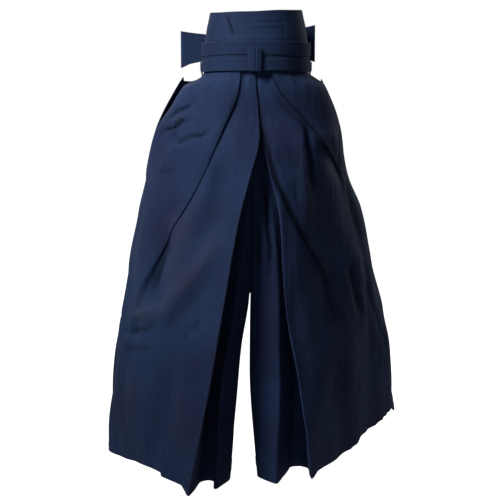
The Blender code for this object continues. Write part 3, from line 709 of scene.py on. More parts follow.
@dataclass
class Section:
    """Fold corners of a panel at many heights, before they are rounded.

    Attributes:
        before: Corner point towards the fold before, as (fold, height, 2).
        after: Corner point towards the fold after.
        widths: Width of each bend at each height.
    """

    before: Points
    after: Points
    widths: Points

    def stop_short(self, corner: Points, toward: Points, distance: Points) -> Points:
        """Point on the way from a corner to the next one, never past the middle."""
        reach = np.linalg.norm(toward - corner, axis=-1)
        return corner + unit(toward - corner) * np.minimum(distance, 0.45 * reach)[:, None]

    def bend(self, k: int) -> tuple[Points, Points]:
        """Where the rounding of fold k starts and ends."""
        last = len(self.widths) - 1
        previous = (self.before[0] + self.after[0]) / 2 if k == 1 else self.after[k - 1]
        following = (self.before[last] + self.after[last]) / 2 if k == last - 1 else self.before[k + 1]
        first = self.stop_short(self.before[k], previous, self.widths[k] / 2)
        final = self.stop_short(self.after[k], following, self.widths[k] / 2)
        return first, final

    def arc(self, k: int, steps: int) -> list[Points]:
        """Points of the two arcs that round fold k."""
        first, final = self.bend(k)
        before, after = self.before[k], self.after[k]
        middle = (before + after) / 2
        found = []
        for step in range(steps):
            t = step / steps
            found.append((1 - t) ** 2 * first + 2 * t * (1 - t) * before + t * t * middle)
        for step in range(steps + 1):
            t = step / steps
            found.append((1 - t) ** 2 * middle + 2 * t * (1 - t) * after + t * t * final)
        return found

    def sampled(self, steps: Sequence[int], spans: Sequence[int]) -> tuple[Points, Points, list[int]]:
        """Curve of the section.

        Args:
            steps: Steps of each arc, for each fold.
            spans: Points on the straight stretch after each fold.

        Returns:
            Points as (column, height, 2), the fold number of each column, and each fold's column.
        """
        last = len(self.widths) - 1
        ends = [(self.before[k] + self.after[k]) / 2 for k in (0, last)]
        columns = [ends[0]]
        places = [0.0]
        middles = [0]
        for k in range(1, last + 1):
            arcs = [ends[1]] if k == last else self.arc(k, steps[k])
            around = 0 if k == last else BEND_SHARE
            first_place = k - around
            start, start_place = columns[-1], places[-1]
            for number in range(1, spans[k - 1] + 1):
                share = number / (spans[k - 1] + 1)
                columns.append(start * (1 - share) + arcs[0] * share)
                places.append(start_place * (1 - share) + first_place * share)
            middles.append(len(columns) + len(arcs) // 2)
            for number, point in enumerate(arcs):
                columns.append(point)
                places.append(k + around * (2 * number / max(len(arcs) - 1, 1) - 1))
        return np.array(columns), np.array(places), middles


@dataclass
class Cut:
    """Flat piece that a maker cuts, in metres, with its area where it isn't a rectangle."""

    width: float
    length: float
    area: float | None = None


@dataclass
class LegPanel:
    """One panel of a leg, worked out from its fold lines.

    Attributes:
        name: Node that it stands for.
        leg: Which leg.
        hang: What its upper edge is sewn into.
        folds: Its fold lines, from the side seam to the inseam.
        cut: The flat piece.
        step: Spacing of the columns on straight stretches.
    """

    name: str
    leg: Leg
    hang: Hang
    folds: tuple[Fold, ...]
    cut: Cut
    step: float = COLUMN_STEP
    grid: Points = field(init=False)
    edge: Points = field(init=False)
    hem_distance: Points = field(init=False)
    cavity: Points = field(init=False)

    def flat_section(self, z: Points) -> Section:
        """Section where the pleats lie flat on the waist oval, as distance along it and depth."""
        half, _, _ = waist_oval(z, self.leg)
        before, after, widths = [], [], []
        for number, fold in enumerate(self.folds):
            x = smooth_through(LEVELS, fold.across, z)
            along = np.arcsin(np.clip(x / half, -0.995, 0.995)) * half
            width = linear_through(WIDTH_LEVELS, fold.width, z)
            level = np.full_like(z, fold.layer * LAYER)
            if fold.pressed:
                before.append(np.stack([along, level - LAYER / 2], axis=-1))
                after.append(np.stack([along, level + LAYER / 2], axis=-1))
                widths.append(np.full_like(z, LAYER))
                continue
            inside = 0 < number < len(self.folds) - 1
            toward = self.leg.value * width / 2 if inside else 0 * width
            before.append(np.stack([along + toward, level], axis=-1))
            after.append(np.stack([along - toward, level], axis=-1))
            widths.append(width)
        return Section(np.array(before), np.array(after), np.array(widths))

    def wrap_on_oval(self, flat: Points, z: Points) -> Points:
        """Lays a flat section on the waist oval."""
        half, depth, centre = waist_oval(z, self.leg)
        angle = flat[..., 0] / half
        inward = unit(-np.stack([np.sin(angle) / half, -np.cos(angle) / depth], axis=-1))
        x = half * np.sin(angle) + inward[..., 0] * flat[..., 1]
        y = centre - depth * np.cos(angle) + inward[..., 1] * flat[..., 1]
        return np.stack([x, y], axis=-1)

    def depth_table(self, fold: Fold) -> list[float]:
        """y of a fold at every level."""
        if self.hang is Hang.BACK_BOARD:
            return list(fold.depth)
        found = []
        for level, x in zip(LEVELS[:FREE_FROM], fold.across):
            half, depth, centre = (float(v) for v in waist_oval(np.array(level), self.leg))
            share = min(abs(x) / half, 0.995)
            found.append(centre - (depth - fold.layer * LAYER) * math.sqrt(1 - share * share))
        return found + list(fold.depth)

    def free_section(self, z: Points) -> Section:
        """Section where the folds stand as the table says."""
        corners = np.array([
            np.stack([
                smooth_through(LEVELS, fold.across, z),
                smooth_through(LEVELS, self.depth_table(fold), z),
            ], axis=-1)
            for fold in self.folds
        ])
        widths = np.array([linear_through(WIDTH_LEVELS, fold.width, z) for fold in self.folds])
        to_before = unit(np.roll(corners, 1, axis=0) - corners)
        to_after = unit(np.roll(corners, -1, axis=0) - corners)
        shift = unit(to_after - to_before) * widths[..., None] / 2
        shift[0] = 0.0
        shift[-1] = 0.0
        return Section(corners - shift, corners + shift, widths)

    def row_heights(self, top: Points, hem: Points) -> tuple[Points, Points]:
        """Heights of the rows in each column.

        Args:
            top: Upper end of each column.
            hem: Lower end of each column.

        Returns:
            Heights as (row, column), and distances from the hem.
        """
        upper = np.linspace(1, 0, int((TOP - SLIT_FOOT) / ROW_STEP) + 1)
        length = SLIT_FOOT - HEM
        lower = np.linspace(0, 1 - HEM_ROWS[0] / length, int((length - HEM_ROWS[0]) / ROW_STEP))[1:]
        lower = np.concatenate([lower, 1 - np.array(HEM_ROWS[1:]) / length])
        above = SLIT_FOOT + upper[:, None] * (top - SLIT_FOOT)
        below = SLIT_FOOT + lower[:, None] * (hem - SLIT_FOOT)
        heights = np.concatenate([above, below])
        left = np.concatenate([np.full(len(upper), length), (1 - lower) * length])
        return heights, np.broadcast_to(left[:, None], heights.shape)

    def shape(self) -> None:
        """Works out the smooth grid, the wear and painted highlight of the pressed edges, the painted shade
        of their creases and the distance from the hem.
        """
        fine = np.linspace(LEVELS[0], LEVELS[-1], 340)
        free = self.free_section(fine)
        wide = free.widths.max(axis=1)
        steps = [5 if w > SOFT_BEND else 3 for w in wide]
        spans = []
        for k in range(1, len(self.folds)):
            gap = np.linalg.norm(free.before[k] - free.after[k - 1], axis=-1).max()
            spans.append(max(1, int(gap / self.step)))
        curve, places, middles = free.sampled(steps, spans)
        if self.hang is Hang.FRONT_TIE:
            flat, _, _ = self.flat_section(fine).sampled(steps, spans)
            flat = self.wrap_on_oval(flat, fine)
            share = smooth_step((BLEND_FROM - fine) / (BLEND_FROM - BLEND_TO))[None, :, None]
            curve = flat * (1 - share) + curve * share
        numbers = np.arange(len(self.folds))
        top = np.interp(places, numbers, [fold.top for fold in self.folds])
        hem = np.interp(places, numbers, [fold.hem for fold in self.folds])
        z, self.hem_distance = self.row_heights(top, hem)
        self.grid = np.empty(z.shape + (3,))
        for column in range(len(places)):
            self.grid[:, column, 0] = np.interp(-z[:, column], -fine, curve[column, :, 0])
            self.grid[:, column, 1] = np.interp(-z[:, column], -fine, curve[column, :, 1])
        self.grid[..., 2] = z
        steps_across = np.linalg.norm(np.diff(self.grid, axis=1), axis=-1)
        run = np.concatenate([np.zeros((len(z), 1)), np.cumsum(steps_across, axis=1)], axis=1)
        self.edge = np.zeros(z.shape)
        self.cavity = np.zeros(z.shape)
        for fold, column in zip(self.folds, middles):
            away = np.abs(run - run[:, column:column + 1])
            width = linear_through(WIDTH_LEVELS, fold.width, z[:, column])
            sharp = smooth_step((7.0 - width) / 3.0)[:, None]
            # Pale edges are wear with a painted highlight; the darkening by shade is painted shade in the
            # crease
            wear_and_highlight = fold.wear_and_highlight * sharp * smooth_step((z - fold.wear_and_highlight_to) / 30.0 + 1)
            shade = fold.shade * sharp * smooth_step((z - fold.shade_to) / 80.0 + 1)
            self.edge = np.maximum(self.edge, wear_and_highlight * np.exp(-((away / EDGE_WEAR_AND_HIGHLIGHT) ** 2)))
            self.cavity -= shade * np.exp(-((away / CREASE_SHADE) ** 2))

    def hang_cloth(self, drape: Drape) -> None:
        """Lays the cloth in its creases, with a little painted shade in the troughs and a little painted
        highlight on the ridges.
        """
        amount = drape.creased(self.grid)
        # Troughs take painted shade and ridges a painted highlight through the cavity mark
        self.cavity = np.clip(self.cavity + amount / drape.deep, -1, 1)
        self.grid = drape.laid(self.grid)

    def follow(self, front: LegPanel) -> None:
        """Moves the side and inseam edges to those of the front panel, a seam's gap behind."""
        gap = np.array([0.0, SEAM_GAP, 0.0])
        for column, foot in ((0, SLIT_FOOT - 50), (-1, INSEAM_TOP)):
            rows = self.grid[:, column, 2] < foot
            self.grid[rows, column] = front.grid[rows, column] + gap

    def build(self) -> bpy.types.Object:
        """Makes the panel with its turned-up hem."""
        turned = smooth_step((HEM_HEIGHT - self.hem_distance) / 1.6 + 0.5)
        pull = HEM_PULL * np.exp(-(((self.hem_distance - HEM_HEIGHT) / 1.5) ** 2))
        shell = Shell(self.grid, WALL, -pull, HEM_EXTRA * turned, edge=self.edge, cavity=self.cavity)
        normal = shell.normals()
        square_edges(normal, self.grid, (0, -1))
        shell.normal = normal
        return shell.build("cloth_" + self.name)


@dataclass
class Gusset:
    """The piece between the legs: up one leg, over the ridge and down the other."""

    fronts: tuple[LegPanel, LegPanel]
    backs: tuple[LegPanel, LegPanel]
    cut: Cut
    columns: int = 46

    def wall_of(self, front: LegPanel, back: LegPanel, order: int) -> Points:
        """Rows of one leg's side, from the foot up or from the ridge down."""
        gap = np.array([0.0, SEAM_GAP, 0.0])
        shares = np.linspace(0, 1, self.columns)[:, None]
        rows = []
        for start, end in list(zip(front.grid[:, -1], back.grid[:, -1]))[::-order]:
            if GUSSET_FOOT < start[2] < GUSSET_RIDGE:
                rows.append((start + gap) * (1 - shares) + (end - gap) * shares)
        return np.array(rows)

    def build(self) -> bpy.types.Object:
        """Makes the gusset between the displaced inseams."""
        walls = [
            self.wall_of(self.fronts[0], self.backs[0], 1),
            self.wall_of(self.fronts[1], self.backs[1], -1),
        ]
        ridge = (walls[0][-1] + walls[1][0]) / 2
        ridge[:, 2] = walls[1][0][:, 2].max() + GUSSET_RISE
        normals = []
        for wall, order in zip(walls, (1, -1)):
            flat = Shell(wall, WALL).normals()
            flat = flat * np.sign(flat[..., :1]) * -order
            square_edges(flat, wall, (0, -1))
            normals.append(flat)
        over = np.tile([0.0, 0.0, 1.0], (1, self.columns, 1))
        grid = np.concatenate([walls[0], ridge[None], walls[1]])
        normal = np.concatenate([normals[0], over, normals[1]])
        return Shell(grid, WALL, normal=normal).build("cloth_crotch_gusset")


def edge_rows(count: int, fine: float = 0.02) -> Points:
    """Shares from 0 to 1 that lie closer together at both ends."""
    inner = np.linspace(0, 1, count - 4)
    ends = np.array([fine, 3 * fine])
    return np.sort(np.concatenate([inner, ends, 1 - ends]))


def rounded_wall(shares: Points, wall: float, height: float) -> Points:
    """Thickness over a band's height, rounded off at both edges."""
    away = np.minimum(shares, 1 - shares) * height
    reach = np.clip(away / (0.6 * wall), 0, 1)
    return wall * (0.25 + 0.75 * np.sqrt(1 - (1 - reach) ** 2))


@dataclass(frozen=True)
class Ring:
    """Oval ring round the waist: height, half width, front depth and back depth."""

    height: float
    half: float
    front: float
    back: float

    def points(self, angles: Points) -> Points:
        """Points of the ring, from the right side round the front."""
        sine = np.sin(angles)
        y = np.where(sine > 0, -self.front * sine, -self.back * sine)
        return np.stack([-self.half * np.cos(angles), y, np.full_like(angles, self.height)], axis=-1)


@dataclass
class WoundTie:
    """One visible turn of a tie round the waist: a strip folded into a flat band.

    Attributes:
        name: Node that it stands for.
        low: Height of the lower edge at the front.
        ring: The band's oval, at its upper edge.
        cut: The flat strip.
        seed: Seed of its slight unevenness.
    """

    name: str
    low: float
    ring: Ring
    cut: Cut
    seed: int
    side_drop: float = 4.0
    columns: int = 360
    rows: int = 16

    def build(self) -> bpy.types.Object:
        """Makes the band with its folded edge and slight slack."""
        chance = np.random.default_rng(self.seed)
        angles = np.arange(self.columns) / self.columns * 2 * math.pi
        ring = self.ring.points(angles)
        shares = edge_rows(self.rows)
        height = self.ring.height - self.low
        drop = self.side_drop * (ring[:, 0] / self.ring.half) ** 2
        slack = [
            sum(
                chance.uniform(0.15, 0.5) * np.sin(n * angles + chance.uniform(0, 6.28))
                for n in range(3, 9)
            )
            for _ in range(2)
        ]
        grid = np.empty((len(shares), self.columns, 3))
        for row, share in enumerate(shares):
            grid[row] = ring
            uneven = slack[0] * (1 - share) + slack[1] * share
            grid[row, :, 2] = self.ring.height - share * height - drop + 0.8 * uneven
        wall = np.repeat(rounded_wall(shares, BAND_WALL, height)[:, None], self.columns, axis=1)
        away = np.repeat(((shares - 0.72) * height)[:, None], self.columns, axis=1)
        lap = 0.35 * smooth_step((away + 0.4) / 0.8) - 0.35 * np.exp(-((away / 0.6) ** 2))
        soft = sum(
            chance.uniform(0.05, 0.16)
            * np.sin(chance.uniform(8, 26) * angles + shares[:, None] * 4 + chance.uniform(0, 6.28))
            for _ in range(6)
        )
        # Pale edges of the band: wear with a painted highlight
        edge = np.exp(-((np.minimum(shares, 1 - shares) * height / 1.4) ** 2))
        edge = np.repeat(edge[:, None], self.columns, axis=1)
        shell = Shell(grid, wall, lap - 0.2 + 0.5 * soft, closed_columns=True, edge=edge)
        return shell.build("cloth_" + self.name)


@dataclass
class FrontKnot:
    """The upright wrap of the tie at the centre front, with its own soft folds."""

    name: str
    across: tuple[float, float]
    heights: tuple[float, float]
    back: float
    depth: float
    grooves: tuple[float, ...]
    cut: Cut
    corner: float = 2.4

    def build(self) -> bpy.types.Object:
        """Makes the wrap as a closed loop that is drawn in at its upper and lower turns."""
        y_low, y_high = self.back - self.depth, self.back
        section = loop_section(y_low, y_high, *self.heights, self.corner, 10)
        columns = np.linspace(self.across[0], self.across[1], 44)
        middle = sum(self.across) / 2
        grid = np.empty((len(columns), len(section), 3))
        height = self.heights[1] - self.heights[0]
        level = (section[:, 1] - sum(self.heights) / 2) / (height / 2)
        for row, x in enumerate(columns):
            narrow = 1 - 0.16 * np.clip(level, 0, 1) ** 2 - 0.10 * np.clip(-level, 0, 1) ** 2
            aside = abs(x - middle) / (self.across[1] - middle)
            grid[row, :, 0] = middle + (x - middle) * narrow
            grid[row, :, 1] = self.back - (self.back - section[:, 0]) * (1 - 0.72 * aside**2.6)
            grid[row, :, 2] = section[:, 1] - 1.5 * aside**2 * level
        shares = (columns - columns[0]) / (columns[-1] - columns[0])
        wall = rounded_wall(shares, BAND_WALL, columns[-1] - columns[0])
        wall = np.repeat(wall[:, None], len(section), axis=1)
        push = np.zeros_like(wall)
        for number, x in enumerate(self.grooves):
            lean = 1.4 * level * (-1) ** number
            push -= 0.75 * np.exp(-(((columns[:, None] - x - lean) / 1.3) ** 2))
        push += 0.35 * np.sin(columns[:, None] * 0.9) * np.exp(-(level**2))
        shell = Shell(grid, wall, push, closed_columns=True)
        return shell.build("cloth_" + self.name)


def loop_section(
    y_low: float, y_high: float, z_low: float, z_high: float, corner: float, steps: int
) -> Points:
    """Closed rounded rectangle in the yz plane.

    Args:
        y_low: Front of the loop.
        y_high: Back of the loop.
        z_low: Its foot.
        z_high: Its top.
        corner: Radius of the corners.
        steps: Points on each corner.

    Returns:
        Its points as (point, 2), y and z, with even points along the flats.
    """
    corners = (
        (y_high - corner, z_high - corner, 0),
        (y_low + corner, z_high - corner, 90),
        (y_low + corner, z_low + corner, 180),
        (y_high - corner, z_low + corner, 270),
    )
    found: list[tuple[float, float]] = []
    for number, (y, z, start) in enumerate(corners):
        for step in range(steps):
            angle = math.radians(start + 90 * step / (steps - 1))
            found.append((y + corner * math.cos(angle), z + corner * math.sin(angle)))
        ny, nz, nstart = corners[(number + 1) % 4]
        following = (
            ny + corner * math.cos(math.radians(nstart)),
            nz + corner * math.sin(math.radians(nstart)),
        )
        here = found[-1]
        between = 14 if number in (1, 3) else 3
        for step in range(1, between):
            share = step / between
            found.append(tuple(a * (1 - share) + b * share for a, b in zip(here, following)))
    return np.array(found)


def curve_through(points: Points, step: float) -> Points:
    """Smooth curve through points, with points about a step apart.

    Args:
        points: The route's own points.
        step: Distance between points of the curve.

    Returns:
        Points of the curve.
    """
    route = np.asarray(points, float)
    padded = np.concatenate([2 * route[:1] - route[1:2], route, 2 * route[-1:] - route[-2:-1]])
    found = []
    for k in range(1, len(padded) - 2):
        p0, p1, p2, p3 = padded[k - 1:k + 3]
        count = max(2, int(np.linalg.norm(p2 - p1) / step))
        for t in np.arange(count) / count:
            found.append(
                0.5 * (2 * p1 + (p2 - p0) * t + (2 * p0 - 5 * p1 + 4 * p2 - p3) * t * t
                       + (3 * p1 - p0 - 3 * p2 + p3) * t**3)
            )
    found.append(route[-1])
    return np.array(found)


@dataclass
class SideTie:
    """A tie that leaves the back board's lower corner and runs forward under the bow."""

    name: str
    leg: Leg
    cut: Cut
    width: float = 20.0
    rows: int = 14
    path: tuple[tuple[float, float, float], ...] = (
        (102.0, 108.7, -13.0),
        (110.0, 108.9, -14.0),
        (116.0, 108.9, -17.5),
        (120.2, 109.2, -23.5),
        (120.8, 108.2, -28.8),
        (120.9, 102.5, -31.0),
        (120.5, 90.0, -30.6),
        (120.2, 66.0, -29.0),
        (120.2, 44.0, -25.0),
        (120.4, 18.0, -20.0),
        (120.8, 0.0, -17.0),
    )

    def build(self) -> bpy.types.Object:
        """Makes the folded strip along its path."""
        line = curve_through(np.array(self.path), 2.0)
        shares = edge_rows(self.rows)
        grid = np.empty((len(shares), len(line), 3))
        for row, share in enumerate(shares):
            grid[row] = line
            grid[row, :, 0] *= self.leg.value
            grid[row, :, 2] += (0.5 - share) * self.width
        wall = rounded_wall(shares, BAND_WALL, self.width)[:, None]
        away = ((shares - 0.7) * self.width)[:, None]
        lap = 0.3 * smooth_step((away + 0.4) / 0.8) - 0.3 * np.exp(-((away / 0.6) ** 2))
        # Pale edges of the tie: wear with a painted highlight
        edge = np.exp(-((np.minimum(shares, 1 - shares) * self.width / 1.4) ** 2))[:, None]
        size = grid.shape[:2]
        lap = np.broadcast_to(lap - 0.15, size)
        if self.leg is Leg.LEFT:
            shell = Shell(grid, wall, outer_push=0.0, inner_push=lap)
        else:
            shell = Shell(grid, wall, outer_push=lap)
        shell.edge = np.broadcast_to(edge, size)
        return shell.build("cloth_" + self.name)


@dataclass
class BackBoard:
    """The stiff cloth-covered board at the small of the back."""

    name: str = "koshi_board"
    foot: float = 118.0
    top: float = 88.0
    heights: tuple[float, float] = (-24.0, 66.0)
    middle_y: float = 112.4
    wall: float = 5.0
    corner: float = 5.0
    stitch_inset: float = 5.0
    rows: int = 46
    columns: int = 110

    def outline_x(self, z: Points) -> Points:
        """Half width at a height."""
        low, high = self.heights
        share = (z - low) / (high - low)
        half = self.foot * (1 - share) + self.top * share
        near = np.clip((np.minimum(z - low, high - z)) / self.corner, 0, 1)
        return half - self.corner * (1 - np.sqrt(1 - (1 - near) ** 2))

    def grid(self) -> tuple[Points, Points]:
        """Middle points and the distance of each from the outline."""
        low, high = self.heights
        z = high - edge_rows(self.rows, 0.006) * (high - low)
        shares = edge_rows(self.columns, 0.003)
        half = self.outline_x(z)
        grid = np.empty((len(z), len(shares), 3))
        grid[..., 0] = -half[:, None] + 2 * half[:, None] * shares
        grid[..., 1] = self.middle_y
        grid[..., 2] = z[:, None]
        sides = (half[:, None] - np.abs(grid[..., 0])) * 0.95
        ends = np.minimum(high - z, z - low)[:, None]
        return grid, np.minimum(sides, ends)

    def build(self) -> bpy.types.Object:
        """Makes the board with its rounded, stitched border and slightly padded faces."""
        grid, inset = self.grid()
        reach = np.clip(inset / 2.2, 0, 1)
        wall = self.wall * (0.16 + 0.84 * np.sqrt(1 - (1 - reach) ** 2))
        groove = 0.4 * np.exp(-(((inset - self.stitch_inset) / 0.9) ** 2))
        soft = 0.25 * smooth_step((inset - self.stitch_inset) / 14.0)
        # Pale rim of the board: wear with a painted highlight
        edge = np.exp(-((inset / 1.6) ** 2))
        shell = Shell(grid, wall - 0.5, soft - groove, soft - groove, edge=edge)
        return shell.build("cloth_" + self.name)


@dataclass
class SashWrap:
    """The sash wound round the waist above the ties, narrower towards the top.

    Attributes:
        name: Node of the sash.
        rings: Its sections, from the lowest up.
        tilt: Rise of its edges for each millimetre of x.
        cut: Its flat size.
        columns: Grid points round the waist.
        rows: Grid points up the sash.
        waves: Waves of the top edge, each with its height, turns and start in radians.
    """

    name: str
    rings: tuple[Ring, ...]
    tilt: float
    cut: Cut
    columns: int = 380
    rows: int = 56
    waves: tuple[tuple[float, int, float], ...] = ((0.5, 3, 0.7), (0.35, 7, 0.0))

    def creases(self) -> list[Crease]:
        """Creases of the sash as shown, and like ones behind."""
        return [
            Crease(0, ((-62, 92), (-57, 76), (-50, 56), (-45, 38)), -1.9, 3.2, 0.0),
            Crease(0, ((-72, 94), (-68, 78), (-64, 62)), 0.9, 4.0, 0.0),
            Crease(0, ((-52, 88), (-46, 72), (-40, 56)), 0.9, 4.5, 0.0),
            Crease(0, ((-96, 36), (-60, 31), (-20, 29)), -0.8, 2.6, 0.0),
            Crease(0, ((-90, 48), (-50, 44), (10, 42), (70, 46)), 0.6, 4.0, 0.0),
            Crease(0, ((-30, 64), (20, 62), (80, 68)), -0.7, 3.0, 0.0),
            Crease(0, ((-20, 78), (30, 75), (85, 80)), -0.6, 2.6, 0.0),
            Crease(0, ((52, 88), (57, 66), (60, 40)), -0.8, 3.4, 0.0),
            Crease(0, ((30, 34), (60, 37), (98, 40)), -0.7, 2.6, 0.0),
            Crease(180, ((-60, 90), (-56, 70), (-54, 50)), -1.0, 3.6, 0.0),
            Crease(180, ((40, 92), (46, 76), (48, 58)), -1.0, 3.6, 0.0),
            Crease(90, ((-40, 60), (0, 56), (40, 58)), -0.7, 3.0, 0.0),
            Crease(-90, ((-40, 52), (0, 50), (40, 54)), -0.7, 3.0, 0.0),
        ]

    def build(self) -> bpy.types.Object:
        """Makes the sash."""
        angles = np.arange(self.columns) / self.columns * 2 * math.pi
        knots = [ring.height for ring in self.rings][::-1]
        low, high = knots[-1], knots[0]
        shares = edge_rows(self.rows, 0.006)
        heights = high - shares * (high - low)
        grid = np.empty((len(heights), self.columns, 3))
        tables = [[getattr(ring, key) for ring in self.rings][::-1] for key in ("half", "front", "back")]
        for row, z in enumerate(heights):
            half, front, back = (float(smooth_through(knots, table, z)) for table in tables)
            grid[row] = Ring(z, half, front, back).points(angles)
            lip = sum(tall * np.sin(turns * angles + start) for tall, turns, start in self.waves)
            grid[row, :, 2] += grid[row, :, 0] * self.tilt + lip * (1 - shares[row]) ** 2
        drape = Drape(tuple(self.creases()), swell=0.0)
        # Painted shade in the sash's crease troughs and a painted highlight on its ridges
        cavity = np.clip(drape.creased(grid) / SASH_CREASE_DEPTH, -1, 1)
        grid = drape.laid(grid)
        wall = rounded_wall(shares, SASH_WALL, high - low)[:, None]
        wall = np.broadcast_to(wall, grid.shape[:2])
        # Pale edges of the sash: wear with a painted highlight
        edge = np.exp(-((np.minimum(shares, 1 - shares) * (high - low) / SASH_EDGE_WEAR_AND_HIGHLIGHT) ** 2))
        edge = np.broadcast_to(edge[:, None], grid.shape[:2])
        shell = Shell(grid, wall, closed_columns=True, edge=edge, cavity=cavity)
        return shell.build("cloth_" + self.name)


@dataclass(frozen=True)
class BowShape:
    """Sizes that the two loops of the bow and its knot share.

    Attributes:
        middle: x and z of the knot's middle.
        height: Height of a loop at its outer end.
        pinch: Share of that height that is left at the knot.
        droop: How far the lower corner of a loop hangs at its outer end.
        droop_from: Share of the way out where the corner starts to hang.
        depths: y of the loops' front and back layers.
        tilt: Rise of the bow for each millimetre of x.
        knot_width: Width of the knot.
        knot_proud: How far the knot stands before and behind the loops.
        knot_rise: How far it stands above and below them.
    """

    middle: tuple[float, float] = (-18.0, 27.5)
    height: float = 78.0
    pinch: float = 0.60
    droop: float = 4.0
    droop_from: float = 0.86
    depths: tuple[float, float] = (95.9, 105.9)
    tilt: float = math.tan(math.radians(2.6))
    knot_width: float = 36.0
    knot_proud: float = 2.4
    knot_rise: float = 3.5


@dataclass
class BowLoop:
    """One flat loop of the sash's bow.

    Attributes:
        name: Node of the loop.
        end: x of its outer end.
        shape: Sizes that the bow shares.
        cut: Its flat size.
        rows: Grid points up the loop.
        straight_columns: Grid points along each layer.
        turn_steps: Steps round the pressed end.
        gathers: Folds that fan out from the knot, each with its share of the height and its weight.
        gather_width: Width of a fold, as a share of the height.
        gather_depth: Depth of a fold of weight 1 at the knot.
        gather_fade: How fast the folds fade towards the end.
    """

    name: str
    end: float
    shape: BowShape
    cut: Cut
    rows: int = 40
    straight_columns: int = 44
    turn_steps: int = 14
    gathers: tuple[tuple[float, float], ...] = (
        (0.2, -1.0), (0.36, 0.8), (0.52, -1.3), (0.67, 0.7), (0.83, -0.9)
    )
    gather_width: float = 0.045
    gather_depth: float = 0.5
    gather_fade: float = 1.3

    def build(self) -> bpy.types.Object:
        """Makes the loop: out along the front, round the pressed end and back behind."""
        y_low, y_high = self.shape.depths
        radius = (y_high - y_low) / 2
        side = math.copysign(1, self.end - self.shape.middle[0])
        inner = self.shape.middle[0] + side
        turn = self.end - side * radius
        straight = np.linspace(inner, turn, self.straight_columns)
        path = [(x, y_low) for x in straight]
        for step in range(1, self.turn_steps):
            angle = math.pi * step / self.turn_steps
            swing = side * radius * math.sin(angle)
            path.append((turn + swing, (y_low + y_high) / 2 - radius * math.cos(angle)))
        path += [(x, y_high) for x in straight[::-1]]
        line = np.array(path)
        reach = abs(self.end - self.shape.middle[0])
        out = np.clip(np.abs(line[:, 0] - self.shape.middle[0]) / reach, 0, 1)
        tall = self.shape.height * (self.shape.pinch + (1 - self.shape.pinch) * out**2)
        hanging = smooth_step((out - self.shape.droop_from) / (1 - self.shape.droop_from))
        droop = self.shape.droop * hanging
        shares = edge_rows(self.rows, 0.008)
        grid = np.empty((len(shares), len(line), 3))
        for row, share in enumerate(shares):
            level = 0.5 - share
            grid[row, :, :2] = line
            rise = (line[:, 0] - self.shape.middle[0]) * self.shape.tilt
            grid[row, :, 2] = self.shape.middle[1] + level * tall + rise - droop * share**3
        wall = rounded_wall(shares, BOW_WALL, self.shape.height)[:, None]
        wall = np.broadcast_to(wall, grid.shape[:2])
        fade = (1 - out[None, :]) ** self.gather_fade
        fan = sum(
            weight * np.exp(-(((shares[:, None] - at) / self.gather_width) ** 2)) * fade
            for at, weight in self.gathers
        )
        # Pale edges of the loop: wear with a painted highlight
        edge = np.exp(-((np.minimum(shares, 1 - shares) * self.shape.height / BOW_EDGE_WEAR_AND_HIGHLIGHT) ** 2))
        edge = np.broadcast_to(edge[:, None], grid.shape[:2])
        grid[..., 1] += self.gather_depth * fan
        return Shell(grid, wall, edge=edge).build("cloth_" + self.name)


@dataclass
class BowKnot:
    """The wrap round the middle of the bow.

    Attributes:
        name: Node of the wrap.
        shape: Sizes that the bow shares.
        cut: Its flat size.
        columns: Grid points across the wrap.
        corner_steps: Steps round each rounded corner of its section.
        narrowing: Share of its width that is lost at the top and bottom.
        folds: Its soft folds, each with its x and its lean towards the top.
        fold_depth: Depth of a fold.
        fold_width: Width of a fold.
    """

    name: str
    shape: BowShape
    cut: Cut
    columns: int = 40
    corner_steps: int = 9
    narrowing: float = 0.06
    folds: tuple[tuple[float, float], ...] = ((-7.0, 3.0), (5.5, -2.5))
    fold_depth: float = 0.8
    fold_width: float = 1.6

    def build(self) -> bpy.types.Object:
        """Makes the wrap with two soft folds."""
        shape = self.shape
        low = shape.middle[1] - shape.height / 2 - shape.knot_rise
        high = shape.middle[1] + shape.height / 2 + shape.knot_rise
        y_low, y_high = shape.depths[0] - shape.knot_proud, shape.depths[1] + shape.knot_proud
        section = loop_section(y_low, y_high, low, high, shape.knot_proud, self.corner_steps)
        half = shape.knot_width / 2
        columns = np.linspace(-half, half, self.columns)
        level = (section[:, 1] - shape.middle[1]) / ((high - low) / 2)
        grid = np.empty((len(columns), len(section), 3))
        for row, x in enumerate(columns):
            grid[row, :, 0] = shape.middle[0] + x * (1 - self.narrowing * level**2)
            grid[row, :, 1] = section[:, 0]
            grid[row, :, 2] = section[:, 1] + x * shape.tilt
        wall = rounded_wall((columns + half) / (2 * half), BAND_WALL, 2 * half)
        wall = np.repeat(wall[:, None], len(section), axis=1)
        push = np.zeros_like(wall)
        for x, lean in self.folds:
            away = (columns[:, None] - x - lean * level) / self.fold_width
            push -= self.fold_depth * np.exp(-(away**2))
        return Shell(grid, wall, push, closed_columns=True).build("cloth_" + self.name)


